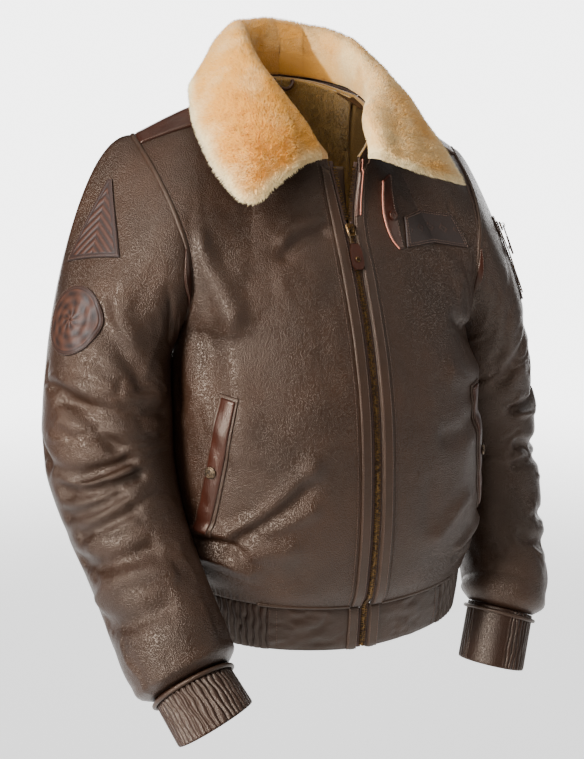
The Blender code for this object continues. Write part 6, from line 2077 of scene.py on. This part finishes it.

# %% [markdown]
# ## Snaps and metal
# Each snap is a turned cap with two raised rings. The sliders, the pulls and the sleeve pocket's
# zip keep their packed form and get brass, dark metal and leather.

# %% Snaps
def make_snap(name, surface_spot, on, sign, radius, finish):
    """A cap with two rings, seated on a laid piece and turned to face out of it."""
    point, normal = spot(front_surface, *(np.array([[v]]) for v in surface_spot))
    point = on_side(point, sign)
    normal = on_side(normal, sign)
    seat = rest(point, normal, on)[0, 0] + normal[0, 0] * 0.0004
    seat = lean(seat[None])[0]
    bpy.ops.object.select_all(action="DESELECT")
    bpy.ops.mesh.primitive_cylinder_add(vertices=56, radius=radius, depth=0.0020, location=(0, 0, 0.0010))
    cap = bpy.context.object
    rim = cap.modifiers.new("rim", "BEVEL")
    rim.width = 0.0008
    rim.segments = 3
    bpy.ops.object.modifier_apply(modifier="rim")
    parts = [cap]
    for share, thick in ((0.80, 0.00055), (0.42, 0.00045)):
        bpy.ops.mesh.primitive_torus_add(major_radius=radius * share, minor_radius=thick,
                                         major_segments=56, minor_segments=10, location=(0, 0, 0.0020))
        parts.append(bpy.context.object)
    bpy.ops.object.select_all(action="DESELECT")
    for part in parts:
        part.select_set(True)
    bpy.context.view_layer.objects.active = cap
    bpy.ops.object.join()
    cap.name = name
    cap.rotation_mode = "QUATERNION"
    bpy.ops.object.transform_apply(location=True, rotation=True, scale=True)
    cap.rotation_quaternion = Vector(normal[0, 0]).to_track_quat("Z", "Y")
    cap.location = Vector(seat)
    bpy.ops.object.transform_apply(location=True, rotation=True, scale=True)
    cap.data.materials.clear()
    cap.data.materials.append(finish)
    bpy.ops.object.shade_smooth_by_angle(angle=math.radians(35))
    return cap


for side, sign in SIDES.items():
    piece = make_snap("snap_" + side, POCKET_SNAP, ["pocket_lip_" + side], sign, SNAP_RADIUS, DARK_METAL)
    settle(piece, ["pocket_snap_" + side])
piece = make_snap("snap_throat", THROAT_SNAP, ["strap"], 1, THROAT_SNAP_RADIUS, BROWN)
settle(piece, ["throat_snap"])
kept = {"zip_slider": BRASS, "sleeve_slider": BRASS, "sleeve_zip_chain": BRASS}
for pull in ("front_pull", "sleeve_pull"):
    kept.update({pull + "_frame": DARK_METAL, pull + "_rivet": BRASS, pull + "_tab": BROWN})
for name, finish in kept.items():
    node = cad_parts[name]
    node.data.materials.clear()
    node.data.materials.append(finish)
print("packed nodes kept:", len(kept))

# %% [markdown]
# ## Stitched seams
# The strips and patches left the lines of their stitches in `lines`. They are sewn last, in one
# piece for each side, when everything they lie on is made.

# %% Seams
for side in SIDES:
    settle(stitches("stitches_" + side, lines[side]), [], "front_" + side)
print("stitched lines:", sum(len(v) for v in lines.values()))

# %% [markdown]
# ## Camera, floor and light
# The camera stands to the wearer's right of the middle and looks down a little, as the photo does.
# A tall soft light on that side gives the satin streaks down the front and the sleeve. The floor
# fades out with distance, and the backdrop is brightest behind the jacket as the camera sees it.

# %% Camera and light
def area_light(name, place, aim, wide, tall, power):
    """A rectangular lamp at a place, turned to its aim; sizes in metres, power in watts."""
    lamp = bpy.data.lights.new(name, "AREA")
    lamp.shape = "RECTANGLE"
    lamp.size = wide
    lamp.size_y = tall
    lamp.energy = power
    thing = bpy.data.objects.new(name, lamp)
    thing.location = place
    thing.rotation_euler = (Vector(aim) - Vector(place)).to_track_quat("-Z", "Y").to_euler()
    bpy.context.scene.collection.objects.link(thing)


camera = bpy.data.objects.new("camera", bpy.data.cameras.new("camera"))
camera.data.lens = 56.25
camera.data.sensor_width = 36
camera.data.clip_start = 0.05
camera.location = CAMERA_PLACE
camera.rotation_euler = (math.radians(90 - 11.3), 0, math.radians(-25))
bpy.context.scene.collection.objects.link(camera)
bpy.context.scene.camera = camera

LIGHTS = {
    "key": ((-1.62, -0.80, 0.30), (0, -0.05, -0.35), 0.36, 1.7, 104),
    "near": ((-1.15, -1.75, 0.75), (-0.1, -0.1, -0.3), 0.35, 0.9, 9),
    "side": ((1.45, -0.85, 0.25), (0.1, 0, -0.35), 0.4, 1.5, 8),
    "top": ((-0.1, -0.5, 1.6), (0, 0, -0.2), 1.6, 1.2, 16),
}
for name, setting in LIGHTS.items():
    area_light(name, *setting)
world = bpy.data.worlds.new("studio")
world.use_nodes = True
sky = world.node_tree
way = sky.nodes.new("ShaderNodeTexCoord")
facing = sky.nodes.new("ShaderNodeVectorMath")
facing.operation = "DOT_PRODUCT"
facing.inputs[1].default_value = (0.42, 0.90, 0.0)
sky.links.new(way.outputs["Generated"], facing.inputs[0])
share = sky.nodes.new("ShaderNodeMapRange")
share.interpolation_type = "SMOOTHSTEP"
for name, value in {"From Min": 0.74, "From Max": 0.92, "To Min": 0.20, "To Max": 4.8}.items():
    share.inputs[name].default_value = value
sky.links.new(facing.outputs["Value"], share.inputs["Value"])
sky.links.new(share.outputs["Result"], sky.nodes["Background"].inputs["Strength"])
sky.nodes["Background"].inputs["Color"].default_value = (1, 1, 1, 1)
bpy.context.scene.world = world

bpy.ops.object.select_all(action="DESELECT")
bpy.ops.mesh.primitive_plane_add(size=30, location=(0, 0, -1.05))
floor = bpy.context.object
floor.name = "floor"
paint = Paint("floor")
paint.shader.inputs["Emission Color"].default_value = (1, 1, 1, 1)
paint.shader.inputs["Emission Strength"].default_value = 1.6
middle = paint.node("ShaderNodeVectorMath", {"operation": "LENGTH"}, {0: paint.place}, 1)
shade = paint.mix(paint.noise(2.0), rgb(60, 60, 60), rgb(64, 64, 64))
floor.data.materials.append(paint.finish(Base_Color=shade, Alpha=1.0 - paint.ramp(middle, 1.0, 3.2)))
